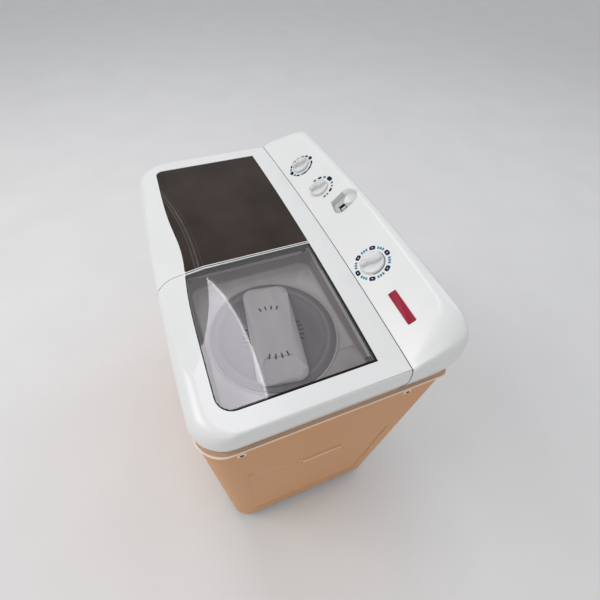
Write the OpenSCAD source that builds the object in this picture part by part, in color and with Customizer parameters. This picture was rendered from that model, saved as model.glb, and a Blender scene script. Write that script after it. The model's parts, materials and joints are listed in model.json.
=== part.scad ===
// Twin tub washing machine: wash tub on the left, spin basket on the right, sloping panel behind.
// Millimetres. X runs along the width, Y from the front to the back, Z up from the floor.

/* [Overall size] */
// Width across the top moulding
rim_w = 760; // [740:5:800]
// Depth from the front of the rim to the back of the panel
body_d = 484; // [470:1:496]
// Height of the lids above the floor
deck_z = 865; // [840:5:880]
// Height of the panel's crest above the lids
crest_h = 61.5; // [56:0.5:66]
// Height of the rubber feet
foot_h = 25; // [18:1:32]

/* [Top mouldings] */
// Wall of the top mouldings and the panel
shell_t = 3; // [2.5:0.1:3.5]
// Depth of the skirt that hides the top of the cabinet
skirt_h = 75; // [68:1:80]
// Height of the round on the front edge
round_h = 35; // [28:1:40]
// How far back the round on the front edge reaches
round_d = 34; // [26:1:40]
// How far in the shoulder on the sides reaches
shoulder_w = 8; // [5:0.5:10]
// Radius of the front corners in plan
rim_r = 60; // [45:1:70]
// Forward bulge of the front edge
front_bow = 9; // [6:0.5:12]
// Depth of the panel behind its seam
panel_d = 106.5; // [102:0.5:112]
// Backward bulge of the seam and of the lids' back edges
seam_bow = 10; // [8:0.5:12]
// Width of the deck between the lids' back edges and the seam
strip_w = 47.5; // [44:0.5:52]
// Gap between the two top mouldings
mould_gap = 0.4; // [0.3:0.1:0.8]

/* [Lids] */
// Position of the division between the two lids, right of the middle
split_x = 41; // [30:1:50]
// Dark groove between the two mouldings at the division
groove_w = 2.2; // [1.5:0.1:3]
// Distance of the wash lid's window from the left side
wash_margin = 43; // [40:1:50]
// Distance of the spin lid's window from the right side
spin_margin = 39; // [36:1:45]
// Distance of the windows' front edge from the front of the rim
front_margin = 55; // [52:1:62]
// Height of the wave in the windows' front edge
wave_h = 12; // [6:1:14]
// Gap between a lid and its window
lid_gap = 2; // [1.6:0.1:2.4]
// Thickness of a lid
lid_t = 3.5; // [3:0.1:4]
// Depth of a lid's turned-down edge
lid_edge_h = 14; // [12:0.5:16]
// Depth of the wall round each window
lip_h = 27.5; // [25:0.5:30]
// Thickness of the wall round each window
lip_t = 2.4; // [2:0.1:2.6]
// Slope of the finger dip, in degrees
dip_angle = 8.65; // [7:0.05:9.5]
// Radius of a hinge pin
pin_r = 2.5; // [2:0.1:3]
// Clearance round a turning pin
pin_clear = 0.08; // [0.05:0.01:0.1]

/* [Panel] */
// Rise of the panel's face for each millimetre back
face_slope = 0.72; // [0.68:0.01:0.76]
// Radius of the timer knobs
knob_r = 24; // [21:0.5:26]
// Height of the knobs
knob_h = 15; // [12:0.5:18]
// Gap between a knob and the panel
knob_gap = 0.8; // [0.6:0.1:1.2]
// Radius of the knobs' stems
stem_r = 3; // [2.5:0.1:3.5]
// Width of the square timer bodies
timer_w = 46; // [40:1:50]
// Depth of the timer bodies behind the face
timer_h = 30; // [24:1:34]
// Travel of the water inlet lever
lever_travel = 9; // [6:0.5:10]

/* [Cabinet] */
// Wall of the cabinet
cab_t = 3; // [2.5:0.1:3.5]
// Clearance between the cabinet's neck and the skirt
neck_in = 10; // [9:0.5:14]
// How much narrower the cabinet is at the bottom, on each side
cab_draft = 3; // [2:0.5:8]
// Height of the shadow gap under the skirt
shadow_h = 14; // [10:1:18]
// Length of a side handle
handle_w = 92; // [80:1:110]
// Depth of a side handle's pocket
handle_d = 12; // [8:1:16]
// Thickness of the base moulding's floor and lip
base_t = 3; // [2.5:0.5:4]
// Height of the base moulding's wall
base_h = 30; // [24:1:34]

/* [Wash side] */
// Wall of the wash tub
tub_t = 3; // [2.5:0.1:3.5]
// Depth of the wash tub
tub_depth = 449; // [430:1:455]
// Slope of the wash tub's walls, top to bottom
tub_draft = 12; // [8:1:14]
// Gap between the pulsator and the foot of the tub's walls
pulsator_gap = 8.5; // [6:0.5:20]
// Height of the pulsator's vanes
vane_h = 26; // [18:1:32]
// Number of vanes
vanes = 6; // [4:1:8]
// Radius of the pulsator's shaft
shaft_r = 8; // [7:0.5:9]
// Radius of the big pulley
pulley_r = 88; // [75:1:92]
// Radius of the wash motor's pulley
small_pulley_r = 17; // [15:0.5:19]
// Radius of the wash motor
wash_motor_r = 56; // [50:1:60]

/* [Spin side] */
// How far the spin tub reaches past the lid's window, front and back
spin_tub_out = 6.5; // [3:0.5:8]
// Gap between the spin basket and its tub
basket_gap = 22; // [16:1:30]
// Gap between the spin basket and the tray above it
basket_drop = 35.5; // [28:0.5:50]
// How much smaller the mouth is than the basket
mouth_in = 9; // [7:0.5:12]
// Depth of the spin compartment below the lid
well_h = 60; // [52:1:64]
// How far the loose inner cover laps over the edge of the mouth
cover_lap = 7; // [5:0.5:8]
// Angle between the raised bar of the inner cover and the width of the machine
cover_turn = -9; // [-15:1:0]
// Radius of the brake drum
brake_r = 60; // [52:1:64]
// Radius of the spin motor
spin_motor_r = 68; // [60:1:72]

/* [Hidden] */

$fn = 72;
touch = 0.3;
eps = 0.01;
white = [0.93, 0.94, 0.95];
smoke = [0.30, 0.29, 0.28, 0.6];
tan = [0.70, 0.55, 0.42];
steel = [0.62, 0.63, 0.65];
black = [0.12, 0.12, 0.13];
tub_white = [0.86, 0.87, 0.87];

// Main lines of the plan
half_w = rim_w / 2;
front_y0 = -body_d / 2;
back_y0 = body_d / 2;
seam_y0 = back_y0 - panel_d;
window_back_y0 = seam_y0 - strip_w;
window_front_y0 = front_y0 + front_margin;
rear_bow = 4;
rear_r = 32;
wave_x = -20;
wave_w = 95;
skirt_z = deck_z - skirt_h;
face_a = atan(face_slope);
slope_y = cos(face_a);
slope_z = sin(face_a);

function bow(x, sag) = sag * pow(x / half_w, 2);
function front_y(x) = front_y0 + bow(x, front_bow);
function seam_y(x) = seam_y0 - bow(x, seam_bow);
function rear_y(x) = back_y0 - bow(x, rear_bow);
function window_back_y(x) = window_back_y0 - bow(x, seam_bow - 1.5);
function window_front_y(x) = window_front_y0 + bow(x, 3) + wave_h * exp(-pow((x - wave_x) / wave_w, 2));
function parts(n) = [for (i = [0 : n]) i / n];
function inner_parts(n) = [for (i = [1 : n - 1]) i / n];
function arc(centre, r, from, to, n = 6) = [for (t = parts(n))
  centre + r * [cos(from + (to - from) * t), sin(from + (to - from) * t)]];
function raise(points, z) = [for (p = points) [p[0], p[1], z]];

// Closed skin through rings of equal length, each anticlockwise seen from the ring after it
module loft(rings) {
  n = len(rings[0]);
  last = n * (len(rings) - 1);
  sides = [for (k = [0 : len(rings) - 2], i = [0 : n - 1])
    each [[k * n + i, (k + 1) * n + i, (k + 1) * n + (i + 1) % n],
      [k * n + i, (k + 1) * n + (i + 1) % n, k * n + (i + 1) % n]]];
  floor_faces = [for (i = [1 : n - 2]) [0, i, i + 1]];
  top_faces = [for (i = [1 : n - 2]) [last, last + i + 1, last + i]];
  polyhedron([for (ring = rings) each ring], concat(sides, floor_faces, top_faces));
}

function round_rect(x0, x1, y0, y1, r, n = 6) = concat(
  arc([x1 - r, y1 - r], r, 0, 90, n), arc([x0 + r, y1 - r], r, 90, 180, n),
  arc([x0 + r, y0 + r], r, 180, 270, n), arc([x1 - r, y0 + r], r, 270, 360, n));

module at(p, z) {
  translate([p[0], p[1], z])
    children();
}

module hole_x(r, h, y, z, x) {
  translate([x, y, z])
    rotate([0, 90, 0])
      cylinder(r = r, h = h, center = true);
}

// Top mouldings

function frame_outline(w, inset, back, r) = concat(
  [for (t = parts(12)) [w * (1 - 2 * t), seam_y(w * (1 - 2 * t)) - back]],
  arc([-w + r, front_y(w - r) + inset + r], r, 180, 270),
  [for (t = inner_parts(12)) let (x = (w - r) * (2 * t - 1)) [x, front_y(x) + inset]],
  arc([w - r, front_y(w - r) + inset + r], r, 270, 360));

module frame_loft(t, below) {
  bottom_z = skirt_z - below;
  rings = concat(
    [raise(frame_outline(half_w - t, shell_t + t, t, rim_r), bottom_z)],
    [for (i = [0 : 6]) let (a = 15 * i)
      raise(frame_outline(half_w - shoulder_w * (1 - cos(a)) - t * cos(a),
        round_d * (1 - cos(a)) + t * cos(a), t, rim_r - shoulder_w * (1 - cos(a))),
        deck_z - round_h * (1 - sin(a)) - t * sin(a))]);
  loft(rings);
}

// Cylinder that scoops the finger dip out of the front edge, deepest at the division
module finger_dip(r, lower) {
  dip_y = front_y0 + 102;
  reach = 60;
  translate([split_x, dip_y, deck_z - lower])
    rotate([90 + dip_angle, 0, 0])
      translate([0, r, -reach])
        cylinder(r = r, h = 4 * reach, $fn = 256);
}
wash_dip_r = 5300;
spin_dip_r = 2550;

wash_x0 = -half_w + wash_margin;
wash_x1 = split_x - groove_w / 2 - lip_t;
spin_x0 = split_x + groove_w / 2 + lip_t;
spin_x1 = half_w - spin_margin;
outer_r = 18;
spin_outer_r = 30;
inner_r = 4;

// Window between x0 and x1, with its own radius at each front corner
module window_outline(x0, x1, r0, r1) {
  n = 14;
  polygon(concat(
    [for (t = parts(n)) let (x = x1 + (x0 - x1) * t) [x, window_back_y(x)]],
    arc([x0 + r0, window_front_y(x0 + r0) + r0], r0, 180, 270),
    [for (t = inner_parts(n)) let (x = x0 + r0 + (x1 - x0 - r0 - r1) * t) [x, window_front_y(x)]],
    arc([x1 - r1, window_front_y(x1 - r1) + r1], r1, 270, 360)));
}

module wash_window() {
  window_outline(wash_x0, wash_x1, outer_r, inner_r);
}

module spin_window() {
  window_outline(spin_x0, spin_x1, inner_r, spin_outer_r);
}

// Everything left of the curved seam between the two mouldings, shifted by half the gap
module wash_side(shift) {
  seam_r = 46;
  bend_y = window_front_y0 + 10;
  translate([shift, 0, skirt_z - 20])
    linear_extrude(deck_z - skirt_z + 40)
      polygon(concat(
        [[split_x, back_y0 + 10], [-half_w - 20, back_y0 + 10], [-half_w - 20, front_y0 - 20]],
        [[split_x + 34, front_y0 - 20]],
        arc([split_x + seam_r, bend_y - 20], seam_r, 232, 180, 6)));
}

hinge_y = window_back_y0 - 17.6;
hinge_z = deck_z - 5.4;
ledge_t = 2.5;
ledge_z = deck_z - lid_edge_h - touch - ledge_t;
rest_z = skirt_z + 16;
rest_w = 16;
rest_t = 2.5;
spout_x = [-40, 100];
spout_w = 24;
spout_h = 9;
spout_z = ledge_z - 4;

module lip_and_ledge() {
  translate([0, 0, deck_z - lip_h])
    linear_extrude(lip_h - shell_t / 2)
      difference() {
        offset(delta = lip_t)
          children();
        children();
      }
  translate([0, 0, ledge_z])
    linear_extrude(ledge_t)
      difference() {
        intersection() {
          offset(delta = lip_t / 2)
            children();
          translate([-half_w, front_y0])
            square([rim_w, hinge_y - 24 - front_y0]);
        }
        offset(delta = -lid_gap - 1.6)
          children();
      }
}

// One of the two top mouldings, before its side of the seam is taken
module frame_body(dip_r, x0, x1) {
  difference() {
    union() {
      difference() {
        frame_loft(0, 0);
        finger_dip(dip_r, 0);
        difference() {
          frame_loft(shell_t, 1);
          finger_dip(dip_r, shell_t);
        }
      }
      difference() {
        lip_and_ledge()
          children();
        finger_dip(dip_r, shell_t / 2);
      }
      translate([0, 0, rest_z])
        linear_extrude(rest_t)
          difference() {
            polygon(frame_outline(half_w - 1, 3, 1, rim_r));
            polygon(frame_outline(half_w - rest_w, rest_w, -1, rim_r - rest_w));
          }
    }
    translate([0, 0, ledge_z + ledge_t + eps])
      linear_extrude(lip_h)
        children();
    translate([0, 0, deck_z - lip_h - 1])
      linear_extrude(lip_h)
        offset(delta = -lid_gap - 1.6)
          children();
    for (x = [x0, x1])
      hole_x(pin_r + pin_clear, 4 * lip_t, hinge_y, hinge_z, x);
    for (x = spout_x)
      translate([x - spout_w / 2 - touch, window_back_y0 - 12, spout_z - touch])
        cube([spout_w + 2 * touch, strip_w + 16, spout_h + 2 * touch]);
    cabinet_clearance();
  }
}

module wash_frame() {
  color(white)
    intersection() {
      frame_body(wash_dip_r, wash_x0, wash_x1)
        wash_window();
      wash_side(-mould_gap / 2);
      groove_cut();
    }
}

module spin_frame() {
  color(white)
    difference() {
      frame_body(spin_dip_r, spin_x0, spin_x1)
        spin_window();
      wash_side(mould_gap / 2);
      groove_block();
    }
}

// Groove at the division, which runs between the windows only
module groove_block() {
  translate([split_x - groove_w / 2, window_front_y(split_x), skirt_z - 20])
    cube([groove_w, window_back_y(split_x) - window_front_y(split_x), 200]);
}

// Everything round the top mouldings except the groove
module groove_cut() {
  difference() {
    translate([-half_w - 30, front_y0 - 30, skirt_z - 30])
      cube([rim_w + 60, body_d + 60, 250]);
    groove_block();
  }
}

// Room for the neck of the cabinet inside the top mouldings
module cabinet_clearance() {
  translate([0, 0, skirt_z - 5])
    linear_extrude(rest_z - skirt_z + 5)
      polygon(cabinet_outline(neck_in - 0.5, neck_in - 0.5));
}

// Lids

module lid_body(dip_r, x0, x1) {
  boss_r = pin_r + 2.5;
  boss_l = 12;
  difference() {
    union() {
      difference() {
        translate([0, 0, deck_z - lid_edge_h])
          linear_extrude(lid_edge_h)
            offset(delta = -lid_gap)
              children();
        finger_dip(dip_r, 0);
        difference() {
          translate([0, 0, deck_z - lid_edge_h - 1])
            linear_extrude(lid_edge_h + 1 - lid_t)
              offset(delta = -lid_gap - 2.4)
                children();
          finger_dip(dip_r, lid_t);
        }
      }
      for (x = [x0 + lid_gap + boss_l / 2, x1 - lid_gap - boss_l / 2])
        hole_x(boss_r, boss_l, hinge_y, hinge_z, x);
    }
    translate([x0 - 10, hinge_y + boss_r, deck_z - lid_edge_h - 2])
      cube([x1 - x0 + 20, 60, lid_edge_h + 2 - lid_t]);
    for (x = [x0, x1])
      hole_x(pin_r + pin_clear / 2, 2 * boss_l + 2 * lid_gap - 4, hinge_y, hinge_z, x);
  }
}

module lid_pins(x0, x1) {
  reach = lip_t + lid_gap + 0.5;
  depth = 9;
  for (side = [[x0, -1], [x1, 1]])
    hole_x(pin_r, reach + depth, hinge_y, hinge_z,
      side[0] - side[1] * lid_gap + side[1] * (reach - depth) / 2);
}

module wash_lid() {
  color(smoke)
    lid_body(wash_dip_r, wash_x0, wash_x1)
      wash_window();
}

module spin_lid() {
  color(smoke)
    lid_body(spin_dip_r, spin_x0, spin_x1)
      spin_window();
}

module wash_lid_pins() {
  color(black)
    lid_pins(wash_x0, wash_x1);
}

module spin_lid_pins() {
  color(black)
    lid_pins(spin_x0, spin_x1);
}

// Safety switch under the deck behind the spin lid
switch_x = 300;
module lid_switch() {
  switch_y = window_back_y(switch_x) + lip_t + 4;
  color(black)
    difference() {
      union() {
        translate([switch_x - 16, switch_y, deck_z - shell_t - 18])
          cube([32, 14, 18]);
        translate([switch_x - 22, switch_y, deck_z - shell_t - 3])
          cube([44, 14, 3]);
      }
      translate([switch_x - 9, switch_y - 1, deck_z - shell_t - 14])
        cube([18, 4, 3]);
    }
}

// Control panel

// Height at which the flat face ends and height of the crest, by distance from the middle as a share
// of half the width
face_tops = [[0, 58.5], [0.3053, 56.8], [0.5447, 55], [0.7474, 53.3], [0.7921, 51.5], [0.8395, 43],
  [0.8737, 33], [0.9079, 21], [0.9368, 9], [0.9553, 3], [0.9789, 2], [0.9895, -3], [0.9974, -16],
  [1, -33]];
crests = [[0, 61.5], [0.3053, 60.4], [0.5447, 59], [0.7474, 57.4], [0.7921, 56.5], [0.8395, 53.5],
  [0.8737, 49.5], [0.9079, 42.5], [0.9368, 35], [0.9553, 29], [0.9789, 18], [0.9895, 9],
  [0.9974, -1], [1, -8]];
outer_stations = [0, 0.1579, 0.3053, 0.4342, 0.5447, 0.6579, 0.7474, 0.7921, 0.8395, 0.8737,
  0.9079, 0.9368, 0.9553, 0.9684, 0.9789, 0.9895, 0.9974, 1];
inner_stations = [0, 0.3053, 0.5447, 0.7474, 0.8395, 0.9079, 0.9553, 0.9895, 1];

function scaled(h) = h > 0 ? h * crest_h / 61.5 : h;
function bend(p, q, r, t) = (1 - t) * (1 - t) * p + 2 * t * (1 - t) * q + t * t * r;
function panel_rear(a) = rear_y(min(a, half_w - rear_r)) - rear_r
  + sqrt(rear_r * rear_r - pow(max(0, a - half_w + rear_r), 2));

// Section of the panel across its length: up the back, over the crest, down the face and the front
function panel_section(u, t, bottom) =
  let (a = abs(u),
    side = half_w * (1 - a),
    edge = side < shoulder_w ? acos(1 - side / shoulder_w) : 90,
    foot = -round_h * (1 - sin(edge)),
    face_top = scaled(lookup(a, face_tops)),
    crest = scaled(lookup(a, crests)),
    y0 = seam_y(u * half_w) + touch,
    y1 = y0 + (face_top - foot) / face_slope,
    corner_y = y1 + (crest - face_top) / face_slope + 0.32 * t,
    back = panel_rear(a * half_w) - t,
    y2 = min(y1 + 3.1 * (crest - face_top), back - 12),
    over = [for (i = [0 : 4]) bend([back, crest - 16], [back, crest - t], [y2, crest - t], i / 4)],
    down = [for (i = [1 : 4]) bend([y2, crest - t], [corner_y, crest - t],
      [y1 + t * slope_z, face_top - t * slope_y], i / 4)],
    line = concat([[back, bottom]], over, down, [[y0 + t, foot - 0.51 * t], [y0 + t, bottom]]))
  [for (p = line) [u * (half_w - t), p[0], deck_z + p[1]]];

module panel_loft(t) {
  stations = t > 0 ? inner_stations : outer_stations;
  bottom = -skirt_h - (t > 0 ? 1 : 0);
  n = len(stations);
  loft(concat([for (i = [n - 1 : -1 : 1]) panel_section(-stations[i], t, bottom)],
    [for (u = stations) panel_section(u, t, bottom)]));
}

// Outline of the panel's skirt in plan, drawn in by t and reaching forward to the given line
function panel_plan(t, front) = concat(
  [for (i = [0 : 8]) let (u = 1 - i / 4) [u * (half_w - t), panel_rear(abs(u) * half_w) - t]],
  [for (i = [0 : 8]) let (x = (half_w - t) * (i / 4 - 1)) [x, seam_y(x) + front]]);

// Puts children on the panel's face: x across, s up the slope, their Z square to the face
module on_face(x, s) {
  translate([x, seam_y(x) + touch + s * slope_y, deck_z + s * slope_z])
    rotate([face_a, 0, 0])
      children();
}

wash_knob_at = [-203, 47];
drain_knob_at = [-96, 47];
spin_knob_at = [162, 42];
lever_at = [-1, 62];
slot_w = 22;
slot_l = 15;
scoop_depth = 13;

// Leaf-shaped outline of the recess round the inlet lever
module scoop_outline(grow) {
  offset(delta = grow)
    hull() {
      translate([-17, 82])
        circle(r = 23, $fn = 32);
      translate([-6, 57])
        circle(r = 15, $fn = 32);
      translate([-33, 50])
        circle(r = 3, $fn = 16);
    }
}

// Recess that is deep along its left edge and fades out on the right
module scoop(grow, deeper, top) {
  scoop_w = 52;
  tilt = atan(scoop_depth / scoop_w);
  difference() {
    on_face(0, 0)
      translate([0, 0, -scoop_depth - 8])
        linear_extrude(scoop_depth + 8 + top)
          scoop_outline(grow);
    on_face(12, 0)
      rotate([0, -tilt, 0])
        translate([-200, -20, -60 - deeper])
          cube([220, 200, 60]);
  }
}

rear_cover_w = 360;
rear_cover_z0 = skirt_z + 28;
rear_cover_h = 78;
rear_screw_x = rear_cover_w / 2 - 10;
rear_screw_z = [rear_cover_z0 + 12, rear_cover_z0 + rear_cover_h - 12];

rear_ledge_y = rear_y(rear_cover_w / 2) - shell_t - touch;

module control_panel() {
  screw_boss_r = 6;
  color(white)
    difference() {
      union() {
        difference() {
          panel_loft(0);
          panel_loft(shell_t);
        }
        scoop(shell_t, shell_t, -0.8);
        for (x = [-rear_screw_x, rear_screw_x], z = rear_screw_z)
          translate([x, rear_y(x) - shell_t - 0.8, z])
            rotate([90, 0, 0])
              cylinder(r = screw_boss_r, h = 10);
        rear_frame();
        translate([0, 0, rest_z])
          linear_extrude(rest_t)
            difference() {
              polygon(panel_plan(1, 1));
              polygon(panel_plan(rest_w, -5));
            }
      }
      scoop(0, 0, scoop_depth);
      on_face(lever_at[0], lever_at[1])
        translate([-slot_w / 2 - lever_travel / 2, -slot_l / 2, -30])
          cube([slot_w, slot_l, 60]);
      for (p = [wash_knob_at, drain_knob_at, spin_knob_at])
        on_face(p[0], p[1])
          cylinder(r = stem_r + 1.5, h = 20, center = true);
      translate([-rear_cover_w / 2, rear_ledge_y, rear_cover_z0])
        cube([rear_cover_w, 20, rear_cover_h]);
      for (x = [-rear_screw_x, rear_screw_x], z = rear_screw_z)
        translate([x, back_y0 - 16, z])
          rotate([90, 0, 0])
            cylinder(r = 1.8, h = 40, center = true);
      for (x = spout_x)
        translate([x - spout_w / 2 - touch, seam_y0 - 14, spout_z - touch])
          cube([spout_w + 2 * touch, 24, spout_h + 2 * touch]);
      translate([inlet_x, back_y0, inlet_z])
        rotate([90, 0, 0])
          cylinder(r = inlet_r + touch, h = 30, center = true);
      cabinet_clearance();
    }
}

// Inner ledge that the rear cover rests against
module rear_frame() {
  ledge_w = 8;
  difference() {
    translate([-rear_cover_w / 2 - ledge_w, rear_ledge_y - 2.5, rear_cover_z0 - ledge_w])
      cube([rear_cover_w + 2 * ledge_w, 4.3, rear_cover_h + 2 * ledge_w]);
    translate([-rear_cover_w / 2 + ledge_w, rear_ledge_y - 10, rear_cover_z0 + ledge_w])
      cube([rear_cover_w - 2 * ledge_w, 20, rear_cover_h - 2 * ledge_w]);
  }
}

inlet_x = -250;
inlet_r = 10;
module panel_rear_cover() {
  slots = 9;
  plate_y = rear_y(rear_cover_w / 2) - shell_t;
  color(white)
    difference() {
      translate([-rear_cover_w / 2 + touch, plate_y, rear_cover_z0 + touch])
        cube([rear_cover_w - 2 * touch, shell_t, rear_cover_h - 2 * touch]);
      for (i = [0 : slots - 1])
        translate([-60 + i * 15, plate_y - 5, rear_cover_z0 + 20])
          cube([6, 20, rear_cover_h - 40]);
      for (x = [-rear_screw_x, rear_screw_x], z = rear_screw_z)
        translate([x, plate_y + shell_t + 1, z])
          rotate([90, 0, 0]) {
            cylinder(r = 4.6, h = 2.6);
            cylinder(r = 2.2, h = 10);
          }
    }
}

// Round-headed screw along -Y, its head standing on the plane y = 0
module screw(head_r, head_h, shank_r, shank_l) {
  rotate([90, 0, 0])
    union() {
      cylinder(r = shank_r, h = shank_l);
      rotate([180, 0, 0])
        difference() {
          cylinder(r1 = head_r, r2 = head_r * 0.7, h = head_h);
          for (turn = [0, 90])
            rotate([0, 0, turn])
              translate([-head_r * 0.5, -0.5, head_h - 1])
                cube([head_r, 1, 2]);
        }
    }
}

module panel_screws() {
  plate_y = rear_y(rear_cover_w / 2);
  color(steel)
    for (x = [-rear_screw_x, rear_screw_x], z = rear_screw_z)
      translate([x, plate_y - 1.5, z])
        screw(4, 1.8, 1.7, 9);
}

// Knobs and the bodies behind them

// Disc with a dished face and a grip bar whose ends curl opposite ways
module knob(r, turn) {
  bar_w = 9;
  bar_l = 2 * r - 5;
  rotate([0, 0, turn])
    difference() {
      union() {
        translate([0, 0, knob_gap])
          rotate_extrude()
            polygon([[0, 0], [r, 0], [r, 3], [r - 1.2, 5.4], [r - 5, 6.4], [0, 5.2]]);
        translate([0, 0, knob_gap + 4])
          linear_extrude(knob_h - knob_gap - 4)
            offset(r = 2)
              grip_outline(bar_l - 4, bar_w - 4);
        translate([0, 0, -9])
          cylinder(r = stem_r, h = 12);
      }
      translate([0, 0, knob_gap - 1])
        difference() {
          cylinder(r = r - 2, h = 3);
          cylinder(r = stem_r + 3, h = 3);
        }
    }
}

module grip_outline(l, w) {
  curl = 3;
  bend = [for (t = parts(8)) [(t - 0.5) * l, curl * sin(360 * (t - 0.5)) * -0.8]];
  polygon(concat([for (p = bend) p + [0, w / 2]], [for (i = [8 : -1 : 0]) bend[i] - [0, w / 2]]));
}

grip_angle = 78;
module wash_timer_knob() {
  color(white)
    on_face(wash_knob_at[0], wash_knob_at[1])
      knob(knob_r - 2, grip_angle);
}

module drain_selector_knob() {
  color(white)
    on_face(drain_knob_at[0], drain_knob_at[1])
      knob(knob_r - 2, grip_angle);
}

module spin_timer_knob() {
  color(white)
    on_face(spin_knob_at[0], spin_knob_at[1])
      knob(knob_r, grip_angle);
}

module timer_body(depth) {
  flange = 3;
  translate([0, 0, -shell_t - 1.6])
    difference() {
      union() {
        translate([-timer_w / 2, -timer_w / 2, -depth])
          cube([timer_w, timer_w, depth - flange]);
        translate([-timer_w / 2 - 5, -timer_w / 4, -flange])
          cube([timer_w + 10, timer_w / 2, flange]);
        translate([0, 0, -depth - 6])
          cylinder(r = timer_w / 3, h = 7);
        for (x = [-timer_w / 2 + 6, timer_w / 2 - 6])
          translate([x - 2, -timer_w / 4, -depth - 8])
            cube([4, 1, 9]);
      }
      translate([0, 0, -9])
        cylinder(r = stem_r + pin_clear, h = 20);
    }
}

module wash_timer() {
  color(steel)
    on_face(wash_knob_at[0], wash_knob_at[1])
      timer_body(timer_h);
}

module spin_timer() {
  color(steel)
    on_face(spin_knob_at[0], spin_knob_at[1])
      timer_body(timer_h);
}

module drain_selector() {
  color(steel)
    on_face(drain_knob_at[0], drain_knob_at[1])
      timer_body(timer_h * 0.7);
}

// Triangular paddle in the scoop, which sends the water to one tub or the other
module inlet_lever() {
  paddle_w = 8;
  stem_w = 6;
  color(white)
    on_face(lever_at[0], lever_at[1])
      union() {
        translate([-1, -slot_l / 2 + 2, 0])
          rotate([-90, 0, 0])
            linear_extrude(slot_l - 4)
              polygon([[0, 16], [stem_w, 16], [paddle_w - 1, -2], [paddle_w - 3, -4], [0, 1]]);
        translate([-3, -slot_l / 2 + 2, -18])
          cube([paddle_w + 4, slot_l - 4, 2.5]);
      }
}

// Divided water channel behind the panel, with one spout to each tub
channel_x0 = -60;
channel_x1 = 125;
channel_d = 44;
channel_h = 24;
channel_z = spout_z - 6;
module water_channel() {
  t = 2;
  y0 = seam_y0 + 12;
  wall_z = channel_z + channel_h;
  color(tub_white)
    difference() {
      union() {
        translate([channel_x0, y0, channel_z])
          cube([channel_x1 - channel_x0, channel_d, channel_h]);
        for (x = spout_x)
          translate([x - spout_w / 2, window_back_y0 + lip_t + 1, spout_z])
            cube([spout_w, y0 - window_back_y0 - lip_t, spout_h]);
      }
      for (side = [[channel_x0 + t, split_x - 20], [split_x - 20 + t, channel_x1 - t]])
        translate([side[0], y0 + t, channel_z + t])
          cube([side[1] - side[0], channel_d - 2 * t, channel_h]);
      for (x = spout_x)
        translate([x - spout_w / 2 + t, window_back_y0, spout_z + t])
          cube([spout_w - 2 * t, y0 - window_back_y0 + t + 1, spout_h - 2 * t]);
    }
}

// Hose socket at the back of the panel, with its tail into the channel
inlet_z = skirt_z + 44;
module water_inlet() {
  tail_r = 8;
  wall_y = rear_y(inlet_x);
  color(black)
    translate([inlet_x, wall_y - shell_t - 3.6, inlet_z])
      rotate([-90, 0, 0])
        difference() {
          union() {
            cylinder(r = 16, h = 3);
            cylinder(r = inlet_r, h = shell_t + 3.6 + back_y0 - wall_y);
            translate([0, 0, -30])
              cylinder(r = tail_r, h = 31);
          }
          translate([0, 0, -40])
            cylinder(r = 6, h = 90);
        }
}

// Cabinet and base

function cabinet_outline(inset, rear) =
  let (w = half_w - inset, y_in = inset - 3.5, r = rim_r - 6, rb = 18, yb = back_y0 - rear - 8.5)
  concat(
    arc([w - rb, yb - rb], rb, 0, 90, 4), arc([-w + rb, yb - rb], rb, 90, 180, 4),
    arc([-w + r, front_y(w - r) + y_in + r], r, 180, 270),
    [for (t = inner_parts(10)) let (x = (w - r) * (2 * t - 1)) [x, front_y(x) + y_in]],
    arc([w - r, front_y(w - r) + y_in + r], r, 270, 360));

cab_z0 = foot_h + base_t;
cab_top_z = skirt_z - shadow_h;
cab_in = neck_in - 5;
back_y = back_y0 - cab_in - 8.5;
handle_y = 8;
handle_z = skirt_z - 275;
handle_h = 26;
cover_w = 520;
cover_z0 = cab_z0 + 92;
cover_h = 510;
spigot_z = cab_z0 + 52;
spigot_x = -96;
gland_x = 250;

function cabinet_ring(z, inset, rear) = raise(cabinet_outline(inset, rear), z);

// Shallow sunk area of a side, whose upper edge slopes down from the front to the handle
module cabinet_side(side) {
  lean = atan(cab_draft / (cab_top_z - cab_z0));
  relief = 1.2;
  corner = 10;
  low = 70;
  high = skirt_z - cab_z0 - 195;
  mid = handle_z - cab_z0 + 27;
  mirror([side < 0 ? 1 : 0, 0, 0])
    translate([half_w - cab_in - cab_draft, 0, cab_z0])
      rotate([0, lean, 0])
        translate([-relief, 0, 0])
          rotate([90, 0, 90])
            linear_extrude(20)
              offset(r = corner)
                offset(delta = -corner)
                  polygon([[front_y0 + 78, low], [back_y0 - 62, low], [back_y0 - 62, mid],
                    [handle_y - handle_w / 2 - 26, mid], [front_y0 + 78, high]]);
}

module handle_pocket(side, t) {
  x_out = half_w - cab_in + 5;
  mirror([side < 0 ? 1 : 0, 0, 0])
    translate([x_out - handle_d - 10 - t, handle_y - handle_w / 2 - t, handle_z - handle_h / 2 - t])
      cube([handle_d + 10 + t, handle_w + 2 * t, handle_h + 2 * t]);
}

rim_screw_y = [-167, 152];
rim_screw_z = skirt_z - shadow_h - 15;

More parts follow.
